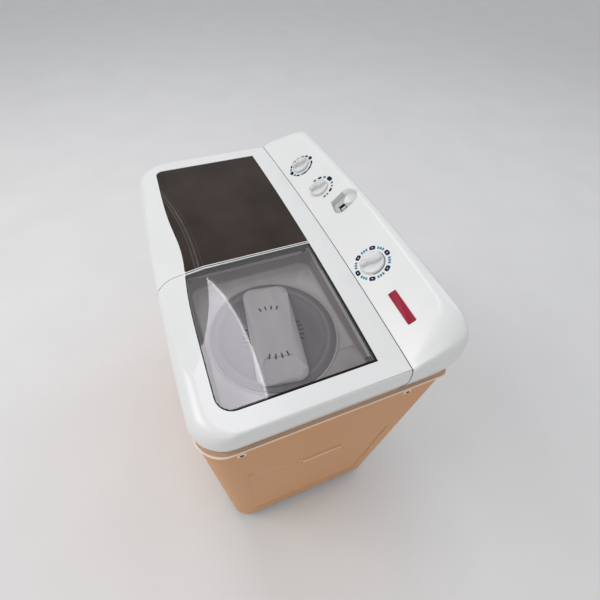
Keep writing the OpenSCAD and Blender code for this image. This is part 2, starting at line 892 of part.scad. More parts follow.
module cabinet() {
  color(tan)
    difference() {
      union() {
        difference() {
          union() {
            loft([cabinet_ring(cab_z0, cab_in + cab_draft, cab_in), cabinet_ring(cab_top_z - 3, cab_in, cab_in),
              cabinet_ring(cab_top_z, cab_in + 2.5, cab_in + 2.5)]);
            translate([0, 0, cab_top_z - 2])
              linear_extrude(rest_z - cab_top_z + 2)
                polygon(cabinet_outline(neck_in, neck_in));
          }
          loft([cabinet_ring(cab_z0 - 1, cab_in + cab_draft + cab_t, cab_in + cab_t),
            cabinet_ring(cab_top_z - 20, cab_in + cab_t, cab_in + cab_t),
            cabinet_ring(cab_top_z - 2, neck_in + cab_t, neck_in + cab_t),
            cabinet_ring(rest_z + 1, neck_in + cab_t, neck_in + cab_t)]);
          for (side = [-1, 1])
            cabinet_side(side);
        }
        for (side = [-1, 1])
          intersection() {
            handle_pocket(side, cab_t);
            loft([cabinet_ring(cab_z0, cab_in + cab_draft + 1.2, cab_in + 1.2),
              cabinet_ring(cab_top_z, cab_in + 1.2, cab_in + 1.2)]);
          }
      }
      for (side = [-1, 1]) {
        handle_pocket(side, 0);
        for (y = rim_screw_y)
          hole_x(2.2, 40, y, rim_screw_z, side * (half_w - cab_in));
      }
      translate([-cover_w / 2 + 14, back_y - 20, cover_z0 + 14])
        cube([cover_w - 28, 40, cover_h - 28]);
      for (p = cover_screws)
        translate([p[0], back_y, p[1]])
          rotate([90, 0, 0])
            cylinder(r = 1.8, h = 20, center = true);
      translate([spigot_x, back_y, spigot_z])
        rotate([90, 0, 0])
          cylinder(r = 17, h = 30, center = true);
      translate([gland_x, back_y, spigot_z])
        rotate([90, 0, 0])
          cylinder(r = 8.3, h = 30, center = true);
    }
}

module rim_screws() {
  color(steel)
    for (side = [-1, 1], y = rim_screw_y)
      translate([side * (half_w - cab_in), y, rim_screw_z])
        rotate([0, 0, side * -90])
          screw(4.4, 2.4, 2, 8);
}

cover_screws = [for (x = [-cover_w / 2 + 7, cover_w / 2 - 7], t = [0.03, 0.5, 0.97])
  [x, cover_z0 + cover_h * t]];

module back_cover() {
  rows = 7;
  t = 2.5;
  color([0.75, 0.76, 0.76])
    difference() {
      union() {
        translate([-cover_w / 2, back_y, cover_z0])
          cube([cover_w, t, cover_h]);
        for (column = [-1, 1], row = [0 : rows - 1])
          translate([column * 120, back_y + t, cover_z0 + cover_h - 120 - row * 16])
            rotate([0, 90, 0])
              cylinder(r = 3.5, h = 150, center = true);
      }
      for (column = [-1, 1], row = [0 : rows - 1])
        translate([column * 120 - 72, back_y - 6, cover_z0 + cover_h - 120 - row * 16 - 4])
          cube([144, 6 + t, 4.5]);
      for (p = cover_screws)
        translate([p[0], back_y, p[1]])
          rotate([90, 0, 0])
            cylinder(r = 2.2, h = 20, center = true);
    }
}

module back_cover_screws() {
  color(steel)
    for (p = cover_screws)
      translate([p[0], back_y + 2.5, p[1]])
        screw(4, 2, 1.7, 8);
}

spring_r = 92;
spring_base_z = cab_z0 + 22;
base_wall_in = cab_in + cab_draft + cab_t + 0.5;
foot_at = [for (x = [-1, 1], y = [-1, 1]) [x * (half_w - 80), y * (body_d / 2 - 72)]];
spin_at = [(spin_x0 + spin_x1) / 2 + 5, (window_front_y0 + window_back_y0) / 2 + 1];
wash_at = [(wash_x0 + wash_x1) / 2, (window_front_y0 + window_back_y0) / 2 + 1];
spin_tub_r = min(window_back_y0 - window_front_y0 + 2 * spin_tub_out, spin_x1 - spin_x0 - 8.5) / 2;
basket_r = spin_tub_r - basket_gap;
mouth_r = basket_r - mouth_in;
cover_r = mouth_r + cover_lap;

module base_plate() {
  rib_h = 16;
  color(black)
    difference() {
      union() {
        translate([0, 0, foot_h])
          linear_extrude(base_t)
            polygon(cabinet_outline(cab_in + cab_draft + 0.5, cab_in + 0.5));
        difference() {
          translate([0, 0, foot_h])
            linear_extrude(base_h)
              polygon(cabinet_outline(base_wall_in, base_wall_in - cab_draft));
          translate([0, 0, foot_h + base_t])
            linear_extrude(base_h)
              polygon(cabinet_outline(base_wall_in + 3, base_wall_in + 3 - cab_draft));
        }
        for (x = [-240, -120, 0])
          translate([x - 1.5, front_y0 + 42, foot_h + base_t - 1])
            cube([3, body_d - 94, rib_h]);
        translate([-350, -2, foot_h + base_t - 1])
          cube([430, 4, rib_h]);
        for (a = [0, 120, 240])
          translate([spin_at[0] + spring_r * cos(a), spin_at[1] + spring_r * sin(a), foot_h])
            cylinder(r = 24, h = spring_base_z - foot_h);
      }
      for (a = [0, 120, 240])
        translate([spin_at[0] + spring_r * cos(a), spin_at[1] + spring_r * sin(a), spring_base_z - 6])
          cylinder(r = 18.3, h = 20);
      for (row = [0 : 5])
        translate([wash_at[0] - 70, wash_at[1] + 108 + row * 20, foot_h - 1])
          cube([70, 8, base_t + 2]);
    }
}

module feet() {
  color(black)
    for (p = foot_at)
      at(p, 0)
        rotate_extrude()
          polygon([[0, 0], [17, 0], [19, 2], [19, 8], [15, 12], [15, foot_h - 5], [20, foot_h - 3],
            [20, foot_h], [0, foot_h]]);
}

// Wash side

tub_top_z = deck_z - lip_h;
tub_floor_z = tub_top_z - tub_depth;
tub_under_z = tub_floor_z - tub_t;
tub_x0 = wash_x0 + 8;
tub_x1 = wash_x1 - 6;
tub_y0 = window_front_y0 + 14;
tub_y1 = window_back_y0 - 12;
tub_r = 38;
pulsator_r = (tub_y1 - tub_y0) / 2 - tub_draft - pulsator_gap;
floor_r = 30;

function tub_ring(z, inset) = raise(round_rect(tub_x0 + inset, tub_x1 - inset, tub_y0 + inset, tub_y1 - inset,
  max(tub_r - inset, 20)), z);

// Drafted walls that roll into the floor
module tub_loft(t, top) {
  loft(concat(
    [for (a = [90, 60, 30, 0]) tub_ring(tub_floor_z + (floor_r - t) * (1 - sin(a)),
      tub_draft + (floor_r - t) * (1 - cos(a)))],
    [tub_ring(top, 0)]));
}

module tub_solid() {
  loft(concat(
    [for (a = [90, 60, 30, 0]) tub_ring(tub_under_z + floor_r * (1 - sin(a)),
      tub_draft - tub_t + floor_r * (1 - cos(a)))],
    [tub_ring(tub_top_z, -tub_t)]));
}

filter_x = -210;
filter_w = 84;
filter_h = 150;
filter_d = 12;
filter_z = tub_top_z - 215;
filter_y = tub_y1 - 8;
overflow_at = [-96, tub_y1 + 24];
overflow_z = tub_top_z - 70;
duct_r = 12;
drain_at = [spigot_x, back_y0 - 92];
drain_z = tub_floor_z + 16;
drain_r = 14;

module wash_tub() {
  color(tub_white)
    difference() {
      union() {
        difference() {
          tub_solid();
          tub_loft(0, tub_top_z + 1);
        }
        translate([0, 0, tub_top_z - 3])
          linear_extrude(3)
            difference() {
              polygon(round_rect(tub_x0 - 10, tub_x1 + 8, tub_y0 - 14, tub_y1 + 14, tub_r));
              polygon(round_rect(tub_x0 - 1, tub_x1 + 1, tub_y0 - 1, tub_y1 + 1, tub_r));
            }
        for (side = [-1, 1])
          translate([filter_x + side * (filter_w / 2 + 2.4) - 2, filter_y - filter_d - 3, filter_z - 4])
            cube([4, filter_d + 11, filter_h + 4]);
        translate([filter_x - filter_w / 2 - 4.4, filter_y - filter_d - 3, filter_z - 4.3])
          cube([filter_w + 8.8, filter_d + 12, 4]);
        at(wash_at, tub_under_z)
          cylinder(r = 30, h = tub_t + 5);
        translate([drain_at[0], tub_y1 - 14, drain_z])
          rotate([-90, 0, 0])
            cylinder(r = drain_r + 2, h = drain_at[1] - 34 - tub_y1 + 14);
        translate([overflow_at[0], tub_y1 - 1, overflow_z])
          rotate([-90, 0, 0])
            cylinder(r = duct_r - 3, h = 9);
      }
      at(wash_at, tub_under_z - 1)
        cylinder(r = gear_nose_r + touch, h = 40);
      translate([drain_at[0], tub_y1 - 20, drain_z])
        rotate([-90, 0, 0])
          cylinder(r = drain_r - 1, h = 80);
      translate([overflow_at[0], tub_y1 - 14, overflow_z])
        rotate([-90, 0, 0])
          cylinder(r = duct_r - 5, h = 40);
    }
}

// Frame with a basket of slots that lifts out of its rails
module lint_filter() {
  bars = 5;
  color([0.55, 0.72, 0.80])
    difference() {
      union() {
        translate([filter_x - filter_w / 2, filter_y - filter_d, filter_z])
          cube([filter_w, filter_d, filter_h]);
        translate([filter_x - 14, filter_y - filter_d - 5, filter_z + filter_h - 12])
          cube([28, 6, 12]);
      }
      translate([filter_x - filter_w / 2 + 6, filter_y - filter_d + 2, filter_z + 6])
        cube([filter_w - 12, filter_d, filter_h - 24]);
      for (i = [0 : bars - 1])
        translate([filter_x - filter_w / 2 + 10 + i * (filter_w - 20) / bars, filter_y - 20, filter_z + 12])
          cube([(filter_w - 20) / bars - 4, 30, filter_h - 40]);
    }
}

module overflow_duct() {
  elbow_y = overflow_at[1];
  color(tub_white)
    difference() {
      union() {
        translate([overflow_at[0], elbow_y, drain_z + drain_r + 30])
          cylinder(r = duct_r, h = overflow_z - drain_z - drain_r - 15);
        translate([overflow_at[0], elbow_y, overflow_z])
          rotate([90, 0, 0])
            cylinder(r = duct_r, h = elbow_y - tub_y1 - tub_t - touch - 0.5);
        translate([overflow_at[0], elbow_y - duct_r, drain_z + drain_r + 30])
          translate([-duct_r, 0, 0])
            cube([2 * duct_r, drain_at[1] - elbow_y - 20, 16]);
      }
      translate([overflow_at[0], elbow_y, drain_z + drain_r + 32])
        cylinder(r = duct_r - 2, h = overflow_z - drain_z - drain_r - 19);
      translate([overflow_at[0], elbow_y, overflow_z])
        rotate([90, 0, 0])
          cylinder(r = duct_r - 2.6, h = 60);
      translate([overflow_at[0] - duct_r + 2, elbow_y - duct_r + 4, drain_z + drain_r + 32])
        cube([2 * duct_r - 4, drain_at[1] - elbow_y, 12]);
    }
}

shaft_top_z = tub_floor_z + 22;
gear_nose_r = 16;
gear_h = 112;
gear_z0 = tub_under_z - gear_h;
pulley_h = 20;
pulley_z = gear_z0 - 6 - pulley_h;
belt_t = 7;
belt_h = 9;
groove_r = pulley_r - belt_t;
small_groove_r = small_pulley_r - 4;

// Dished disc with curved vanes and a domed cap
module pulsator() {
  z0 = tub_floor_z + 5.5;
  color([0.80, 0.82, 0.84])
    at(wash_at, z0)
      difference() {
        union() {
          rotate_extrude()
            polygon([[0, 2], [pulsator_r - 10, 2], [pulsator_r, 6], [pulsator_r, 9],
              [pulsator_r - 12, 7], [36, 14], [24, vane_h], [10, vane_h + 5], [0, vane_h + 6]]);
          for (i = [0 : vanes - 1])
            rotate([0, 0, i * 360 / vanes])
              vane();
        }
        translate([0, 0, -1])
          cylinder(r = shaft_r + 0.05, h = shaft_top_z - z0 + 1.3);
      }
}

// Curved vane, highest at the cap
module vane() {
  vane_r = 90;
  intersection() {
    translate([0, vane_r, 3])
      rotate([0, 0, -81])
        rotate_extrude(angle = 54)
          translate([vane_r - 4, 0])
            square([8, vane_h]);
    rotate_extrude()
      polygon([[0, 0], [pulsator_r - 7, 0], [pulsator_r - 7, 12], [20, vane_h - 1], [0, vane_h - 1]]);
  }
}

module pulsator_shaft() {
  color(steel)
    at(wash_at, pulley_z - 6)
      union() {
        cylinder(r = shaft_r, h = shaft_top_z - pulley_z + 6);
        cylinder(r = 13, h = 5, $fn = 6);
      }
}

// Grooved rim on a web, with its hub; its groove holds the belt clear all round
module pulley_profile(r, groove, hub_r, bore) {
  lip = (pulley_h - belt_h) / 2 - 0.5;
  rotate_extrude()
    difference() {
      polygon([[bore, 0], [hub_r, 0], [hub_r, 5], [groove - 8, 5], [groove - 8, 0], [r, 0],
        [groove, lip], [groove, pulley_h - lip], [r, pulley_h], [groove - 8, pulley_h],
        [groove - 8, 9], [hub_r, 9], [hub_r, pulley_h], [bore, pulley_h]]);
    }
}

module wash_pulley() {
  holes = 6;
  hole_r = 13;
  color(steel)
    at(wash_at, pulley_z)
      difference() {
        pulley_profile(pulley_r, groove_r, 20, shaft_r + 0.05);
        for (i = [0 : holes - 1])
          rotate([0, 0, i * 360 / holes])
            translate([(groove_r - 8 + 20) / 2, 0, -1])
              cylinder(r = hole_r, h = 30);
      }
}

module gear_housing() {
  color(steel)
    at(wash_at, gear_z0)
      rotate_extrude()
        polygon([[shaft_r + 0.1, 0], [24, 0], [24, 14], [46, 20], [52, 26], [52, gear_h - 24],
          [60, gear_h - 14], [72, gear_h - 6], [72, gear_h], [gear_nose_r, gear_h],
          [gear_nose_r, gear_h + tub_t + 6], [shaft_r + 0.1, gear_h + tub_t + 6]]);
}

motor_turn = 133.8;
motor_at = wash_at + (pulley_r + small_pulley_r + 28) * [cos(motor_turn), sin(motor_turn)];
motor_z1 = tub_under_z - 10;
motor_z0 = gear_z0 + 4;
motor_shaft_r = 6;
module motor_bracket() {
  t = 5;
  post_r = 7;
  color(steel)
    difference() {
      union() {
        translate([0, 0, motor_z1])
          linear_extrude(t)
            hull() {
              translate(motor_at)
                circle(r = 46);
              translate(wash_at + [-104, -6])
                circle(r = 26);
              translate(wash_at + [-6, 82])
                circle(r = 26);
            }
        for (p = bracket_posts)
          at(p, motor_z1)
            cylinder(r = post_r, h = tub_under_z - motor_z1);
      }
      at(wash_at, motor_z1 - 1)
        cylinder(r = 74, h = 20);
      at(motor_at, motor_z1 - 1)
        cylinder(r = 14, h = 20);
    }
}
bracket_posts = [wash_at + [-104, 4], wash_at + [-88, 46], wash_at + [2, 80]];

module motor_shell(r, h, bore_r, bore_h) {
  difference() {
    rotate_extrude()
      polygon([[0, 0], [r * 0.32, 0], [r * 0.4, 6], [r * 0.86, 9], [r - 3, 16], [r - 3, 24], [r, 25],
        [r, h - 25], [r - 3, h - 24], [r - 3, h - 16], [r * 0.86, h - 9], [r * 0.4, h - 6],
        [r * 0.32, h], [0, h]]);
    for (a = [0 : 45 : 315])
      rotate([0, 0, a])
        translate([r * 0.6, -3, -1])
          cube([r * 0.3, 6, 14]);
    translate([0, 0, -1])
      cylinder(r = bore_r, h = bore_h + 1);
  }
}

module wash_motor() {
  color(steel)
    at(motor_at, motor_z0)
      motor_shell(wash_motor_r, motor_z1 - motor_z0, motor_shaft_r + 0.06, 46);
}

module motor_pulley() {
  blades = 10;
  fan_z = -12;
  color(black)
    at(motor_at, pulley_z)
      union() {
        pulley_profile(small_pulley_r, small_groove_r, small_groove_r - 8.5, 0);
        cylinder(r = motor_shaft_r, h = motor_z0 + 40 - pulley_z);
        translate([0, 0, fan_z])
          cylinder(r = 16, h = 13);
        for (i = [0 : blades - 1])
          rotate([0, 0, i * 360 / blades])
            translate([10, -1, fan_z])
              cube([34, 2, 9]);
        translate([0, 0, fan_z + 8])
          cylinder(r = 44, h = 2);
      }
}

module belt_line(grow) {
  offset(r = grow)
    hull() {
      translate(wash_at)
        circle(r = groove_r, $fn = 48);
      translate(motor_at)
        circle(r = small_groove_r, $fn = 32);
    }
}

module drive_belt() {
  color(black)
    translate([0, 0, pulley_z + (pulley_h - belt_h) / 2 + touch])
      linear_extrude(belt_h - 2 * touch)
        difference() {
          belt_line(0.35 + belt_t - 1);
          belt_line(0.35);
        }
}

// Drain

valve_r = 30;
valve_z0 = drain_z - 44;
valve_h = 96;
rod_r = 4;
plug_r = 20;
seat_z = valve_z0 + 16;
module drain_valve_body() {
  color([0.35, 0.36, 0.38])
    difference() {
      union() {
        at(drain_at, valve_z0)
          cylinder(r = valve_r, h = valve_h);
        translate([drain_at[0], drain_at[1] - 34, drain_z])
          rotate([-90, 0, 0])
            cylinder(r = drain_r + 5, h = 20);
        at(drain_at, valve_z0 - 20)
          cylinder(r = drain_r + 3, h = 24);
        translate([drain_at[0] + valve_r - 4, drain_at[1], drain_z])
          rotate([0, 90, 0])
            cylinder(r = drain_r + 1, h = 26);
      }
      at(drain_at, seat_z)
        cylinder(r = valve_r - 4, h = valve_h - 22);
      at(drain_at, valve_z0 - 21)
        cylinder(r = drain_r - 1, h = 60);
      at(drain_at, valve_z0 + valve_h - 10)
        cylinder(r = rod_r + 0.3, h = 20);
      translate([drain_at[0], drain_at[1] - 60, drain_z])
        rotate([-90, 0, 0])
          cylinder(r = drain_r - 1, h = 60);
      translate([drain_at[0], drain_at[1] - 35, drain_z])
        rotate([-90, 0, 0])
          cylinder(r = drain_r + 2 + touch, h = 9);
      at(drain_at, drain_z)
        rotate([0, 90, 0])
          cylinder(r = drain_r - 2, h = 80);
    }
}

// Rubber plug on its rod, which the selector lifts
module drain_plug() {
  rod_l = deck_z - 26 - seat_z;
  color(black)
    at(drain_at, seat_z + touch)
      rotate_extrude()
        polygon([[0, 0], [plug_r, 0], [plug_r, 6], [14, 12], [8, 26], [rod_r, 30],
          [rod_r, rod_l - 8], [8, rod_l - 8], [8, rod_l], [0, rod_l]]);
}

module drain_spigot() {
  r = drain_r + 3;
  bend_z = spigot_z;
  out_y = back_y0;
  color(black)
    difference() {
      union() {
        at(drain_at, bend_z)
          cylinder(r = drain_r + 1, h = valve_z0 - 20 - bend_z);
        at(drain_at, bend_z)
          sphere(r = drain_r + 1);
        at(drain_at, bend_z)
          rotate([-90, 0, 0])
            cylinder(r = drain_r + 1, h = out_y - drain_at[1]);
        translate([drain_at[0], back_y - cab_t - 4.3, bend_z])
          rotate([-90, 0, 0])
            cylinder(r = 22, h = 4);
        for (i = [0 : 1])
          translate([drain_at[0], out_y - 6 - i * 6, bend_z])
            rotate([-90, 0, 0])
              cylinder(r1 = r, r2 = drain_r + 1, h = 5);
      }
      at(drain_at, bend_z)
        cylinder(r = drain_r - 1.5, h = 400);
      at(drain_at, bend_z)
        sphere(r = drain_r - 1.5);
      at(drain_at, bend_z)
        rotate([-90, 0, 0])
          cylinder(r = drain_r - 1.5, h = 200);
    }
}

// Spin side

spin_floor_z = tub_under_z - 34;
well_z = deck_z - well_h;
tray_t = 3;
spin_port = spin_at + [-60, sqrt(pow(spin_tub_r, 2) - 3600) - 22.4];

module spin_drain_pipe() {
  start_x = drain_at[0] + valve_r + 22 + touch;
  color([0.35, 0.36, 0.38])
    difference() {
      union() {
        translate([start_x, drain_at[1], drain_z])
          rotate([0, 90, 0])
            cylinder(r = drain_r + 1, h = spin_port[0] - start_x);
        translate([spin_port[0], drain_at[1], drain_z])
          sphere(r = drain_r + 1);
        translate([spin_port[0], spin_port[1] + 56, drain_z])
          rotate([-90, 0, 0])
            cylinder(r = drain_r + 1, h = drain_at[1] - spin_port[1] - 56);
      }
      translate([start_x - 1, drain_at[1], drain_z])
        rotate([0, 90, 0])
          cylinder(r = drain_r - 1.5, h = spin_port[0] - start_x + 1);
      translate([spin_port[0], drain_at[1], drain_z])
        sphere(r = drain_r - 1.5);
      translate([spin_port[0], spin_port[1] + 50, drain_z])
        rotate([-90, 0, 0])
          cylinder(r = drain_r - 1.5, h = drain_at[1] - spin_port[1] - 50);
    }
}

well_x0 = spin_x0 + 1;
well_x1 = spin_x1 - 2;
well_y0 = window_front_y0 + 6;
well_y1 = window_back_y0 - 2;
function well_ring(z, inset, r) = raise(round_rect(well_x0 + inset, well_x1 - inset, well_y0 + inset,
  well_y1 - inset, r), z);

// Tray of the spin compartment, with the round mouth over the basket and a raised corner behind it
module spin_well() {
  slope = 6;
  floor_z = well_z - tray_t;
  rim_h = 2.5;
  color(tub_white)
    difference() {
      union() {
        loft([well_ring(floor_z, slope - tray_t, 24), well_ring(tub_top_z - 1, -tray_t, 24)]);
        translate([0, 0, tub_top_z - 3])
          linear_extrude(3)
            polygon(round_rect(well_x0 - 3, well_x1 + 12, well_y0 - 14, well_y1 + 13, 20));
        at(spin_at, floor_z)
          cylinder(r = mouth_r + 4, h = 1);
      }
      difference() {
        loft([well_ring(well_z, slope, 21), well_ring(tub_top_z + 1, 0, 21)]);
        difference() {
          translate([spin_at[0] + 0.66 * cover_r, spin_at[1] + 0.35 * cover_r, well_z - 1])
            cube([2 * cover_r, 2 * cover_r, 11]);
          at(spin_at, well_z - 2)
            cylinder(r = cover_r + 7, h = 13);
        }
        at(spin_at, well_z - 1)
          difference() {
            cylinder(r = cover_r + 5, h = 1 + rim_h);
            cylinder(r = cover_r + 2, h = 2 + rim_h);
          }
      }
      at(spin_at, floor_z - 1)
        cylinder(r = mouth_r, h = 40);
    }
}

// Loose cover of the spin basket: a shallow dish, a wide raised bar and a ring of slots
module spin_inner_cover() {
  bar_w = 0.775 * cover_r;
  bar_r = 20;
  bar_h = 9;
  t = 2.5;
  slot_r = 0.458 * cover_r;
  z0 = well_z + touch;
  color([0.78, 0.78, 0.77])
    at(spin_at, z0)
      rotate([0, 0, cover_turn + 90])
        difference() {
          union() {
            rotate_extrude()
              polygon([[0, -5], [mouth_r - 22, -5], [mouth_r - 10, 0], [cover_r, 0], [cover_r, 3],
                [mouth_r - 8, 4], [mouth_r - 20, t - 5], [0, t - 5]]);
            cover_bar(bar_w, bar_r, 0.5, bar_h - 0.5);
            intersection() {
              cover_bar(bar_w, bar_r, -3.6, 5);
              translate([0, 0, -4])
                cylinder(r = mouth_r - 9, h = 8);
            }
          }
          cover_bar(bar_w - 2 * t, bar_r - t, -9, 9 + bar_h - t);
          for (end = [-1, 1])
            translate([0, end * 0.64 * cover_r, bar_h - 1.2])
              linear_extrude(6)
                offset(r = 8, $fn = 24)
                  square([44, 26], center = true);
          for (a = [-20, -10, 0, 10, 20, 72, 84, 96, 108], half = [0, 180])
            rotate([0, 0, a + half])
              translate([slot_r, 0, -10])
                linear_extrude(30)
                  offset(r = 1.4, $fn = 8)
                    square([8, 0.4], center = true);
        }
}

module cover_bar(w, r, z, h) {
  l = 1.015 * cover_r + w;
  translate([0, 0, z])
    linear_extrude(h)
      offset(r = r, $fn = 32)
        square([w - 2 * r, l - 2 * r], center = true);
}

module spin_tub() {
  h = well_z - tray_t - spin_floor_z;
  wall = 3;
  color(tub_white)
    difference() {
      union() {
        at(spin_at, spin_floor_z)
          rotate_extrude()
            polygon([[seal_r + 0.5, 0], [spin_tub_r - 20, 0], [spin_tub_r + wall - 4, 12],
              [spin_tub_r + wall, 24], [spin_tub_r + wall, h - 6], [spin_tub_r + wall + 4, h - 4],
              [spin_tub_r + wall + 4, h], [spin_tub_r, h], [spin_tub_r, 24],
              [spin_tub_r - 4, 14], [spin_tub_r - 21, wall], [seal_r + 0.5, wall]]);
        translate([spin_port[0], spin_port[1] + 22, drain_z])
          rotate([-90, 0, 0])
            cylinder(r = drain_r - 2, h = 33.5);
      }
      at(spin_port, drain_z)
        rotate([-90, 0, 0])
          cylinder(r = drain_r - 4, h = 80);
      at(spin_at, spin_floor_z + 24)
        cylinder(r = spin_tub_r, h = h);
    }
}

basket_z = spin_floor_z + 26;
basket_h = well_z - basket_drop - basket_z;
module spin_basket() {
  wall = 2;
  columns = 12;
  rows = 6;
  ring_r = mouth_r - 2;
  color([0.80, 0.82, 0.84])
    at(spin_at, basket_z)
      difference() {
        rotate_extrude()
          polygon([[0, 0], [basket_r - 14, 0], [basket_r, 14], [basket_r, basket_h - 30],
            [basket_r + 2, basket_h - 26], [basket_r + 2, basket_h - 4], [basket_r - 4, basket_h],
            [ring_r, basket_h], [ring_r, basket_h - 26], [basket_r - wall, basket_h - 30],
            [basket_r - wall, 15], [basket_r - 15, wall], [40, wall], [26, 20], [10, 24], [0, 24]]);
        for (i = [0 : columns - 1], j = [0 : rows - 1])
          rotate([0, 0, (i + (j % 2) / 2) * 360 / columns])
            translate([basket_r - wall - 3, 0, 50 + j * (basket_h - 110) / rows])
              rotate([0, 90, 0])
                cylinder(r = 3, h = 10);
        translate([0, 0, -1])
          cylinder(r = shaft_r + 0.05, h = 16);
      }
}

seal_r = 44;
brake_z = spin_floor_z - 48;
brake_h = 26;
motor_plate_z = spring_base_z + 79;
plate_t = 4;
spin_motor_z0 = motor_plate_z + plate_t;
spin_motor_z1 = brake_z - 10;
drive_r = 6;

module spin_shaft() {
  color(steel)
    at(spin_at, 0)
      union() {
        translate([0, 0, spin_motor_z1 - 60])
          cylinder(r = drive_r, h = brake_z + brake_h - spin_motor_z1 + 62);
        translate([0, 0, brake_z + brake_h + 1])
          cylinder(r = shaft_r, h = basket_z + 14 - brake_z - brake_h - 1);
        translate([0, 0, basket_z - 5])
          cylinder(r = 30, h = 5);
      }
}

// Rubber bellows that closes the spin tub round the moving shaft
module shaft_seal() {
  color(black)
    at(spin_at, spin_floor_z)
      rotate_extrude()
        polygon([[shaft_r + 0.1, -6], [16, -6], [16, 3], [20, 9], [24, -4], [28, 9], [32, -4],
          [36, 8], [seal_r + 6, 3.4], [seal_r + 6, 6], [38, 12], [32, 1], [28, 14], [24, 1],
          [20, 14], [14, 14], [shaft_r + 0.1, 14]]);
}

module brake_drum() {
  color(steel)
    at(spin_at, brake_z)
      rotate_extrude()
        polygon([[drive_r + 0.05, 0], [16, 0], [16, 8], [brake_r - 5, 8], [brake_r - 5, 0],
          [brake_r, 0], [brake_r, brake_h], [brake_r - 5, brake_h], [brake_r - 5, 12],
          [16, 12], [16, brake_h], [drive_r + 0.05, brake_h]]);
}

post_at = spin_at + [-50, -84];
post_r = 6;
shoe_gap = 5;
lever_z = brake_z + 4;
lever_h = 16;

// Arm that swings its lined shoe against the brake drum
module brake_lever() {
  arm_l = 116;
  shoe_w = 44;
  color(steel)
    difference() {
      union() {
        at(post_at, lever_z)
          cylinder(r = 12, h = lever_h);
        translate([post_at[0], post_at[1] - 6, lever_z + 4])
          cube([arm_l, 6, lever_h - 8]);
        translate([spin_at[0] - shoe_w / 2, post_at[1] - 1, lever_z + 1])
          cube([shoe_w, 24, lever_h - 2]);
        translate([post_at[0] + arm_l - 4, post_at[1] - 10, lever_z + lever_h / 2])
          rotate([-90, 0, 0])
            cylinder(r = 5, h = 14);
      }
      at(spin_at, lever_z - 1)
        cylinder(r = brake_r + shoe_gap, h = 40);
      at(post_at, lever_z - 1)
        cylinder(r = post_r + 0.1, h = 40);
      translate([post_at[0] + arm_l - 4, post_at[1] - 20, lever_z + lever_h / 2])
        rotate([-90, 0, 0])
          cylinder(r = 2, h = 40);
    }
}

module spin_motor() {
  color(steel)
    at(spin_at, spin_motor_z1)
      rotate([180, 0, 0])
        motor_shell(spin_motor_r, spin_motor_z1 - spin_motor_z0, drive_r + 0.06, 62);
}

module spin_motor_plate() {
  color(steel)
    difference() {
      union() {
        at(spin_at, motor_plate_z)
          cylinder(r = 84, h = plate_t);
        for (a = [0, 120, 240])
          translate([spin_at[0] + spring_r * cos(a), spin_at[1] + spring_r * sin(a), motor_plate_z])
            cylinder(r = 22, h = plate_t);
        at(post_at, motor_plate_z)
          cylinder(r = post_r, h = lever_z + lever_h + 3 - motor_plate_z);
        at(post_at, motor_plate_z)
          cylinder(r = 11, h = lever_z - touch - motor_plate_z);
      }
      for (a = [60, 180, 300])
        translate([spin_at[0] + 74 * cos(a), spin_at[1] + 74 * sin(a), motor_plate_z - 1])
          cylinder(r = 7, h = 10);
    }
}

// Rubber-sleeved springs under the spin motor
module spin_motor_springs() {
  h = motor_plate_z - spring_base_z + 6;
  ribs = 4;
  pitch = (h - 12) / ribs;
  ridge = [for (i = [0 : ribs - 1]) each [[15, 6 + i * pitch + 1], [18, 6 + (i + 0.5) * pitch],
    [15, 6 + (i + 1) * pitch - 1]]];
  color(black)
    for (a = [0, 120, 240])
      translate([spin_at[0] + spring_r * cos(a), spin_at[1] + spring_r * sin(a), spring_base_z - 6])
        rotate_extrude()
          polygon(concat([[0, 0], [18, 0], [18, 5]], ridge, [[18, h - 5], [18, h], [0, h]]));
}

// Smaller electrical pieces

module capacitors() {
  color([0.85, 0.85, 0.83])
    for (p = [[-60, front_y0 + 112], [-180, front_y0 + 112]])
      at(p, foot_h + base_t)
        rotate_extrude()
          polygon([[0, 0], [20, 0], [20, 70], [18, 73], [6, 73], [6, 78], [0, 78]]);
}

module cable_gland() {
  color(black)
    translate([gland_x, back_y - cab_t - 4, spigot_z])
      rotate([-90, 0, 0])
        difference() {
          rotate_extrude()
            polygon([[0, 0], [12, 0], [12, 3.7], [8, 3.7], [8, 4 + cab_t + 0.3], [11, 4 + cab_t + 0.3],
              [10, cab_t + 9], [6, cab_t + 14], [0, cab_t + 14]]);
          translate([0, 0, -1])
            cylinder(r = 3.6, h = 40);
        }
}

base_plate();
feet();
cabinet();
back_cover();
back_cover_screws();
rim_screws();
wash_frame();
spin_frame();
control_panel();
panel_rear_cover();
panel_screws();
wash_lid();
wash_lid_pins();
spin_lid();
spin_lid_pins();
lid_switch();
wash_timer_knob();
drain_selector_knob();
spin_timer_knob();
wash_timer();
drain_selector();
spin_timer();
inlet_lever();
water_channel();
water_inlet();
wash_tub();
overflow_duct();
lint_filter();
pulsator();
pulsator_shaft();
wash_pulley();
gear_housing();
motor_bracket();
wash_motor();
motor_pulley();
drive_belt();
drain_valve_body();
drain_plug();
drain_spigot();
spin_drain_pipe();
spin_well();
spin_inner_cover();
spin_tub();
spin_basket();
spin_shaft();
shaft_seal();
brake_drum();
brake_lever();
spin_motor();
spin_motor_plate();
spin_motor_springs();
capacitors();
cable_gland();
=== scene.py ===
import json
import math

import bmesh
import bpy
import numpy as np
from mathutils import Matrix, Vector
from mathutils.bvhtree import BVHTree
from mathutils.kdtree import KDTree


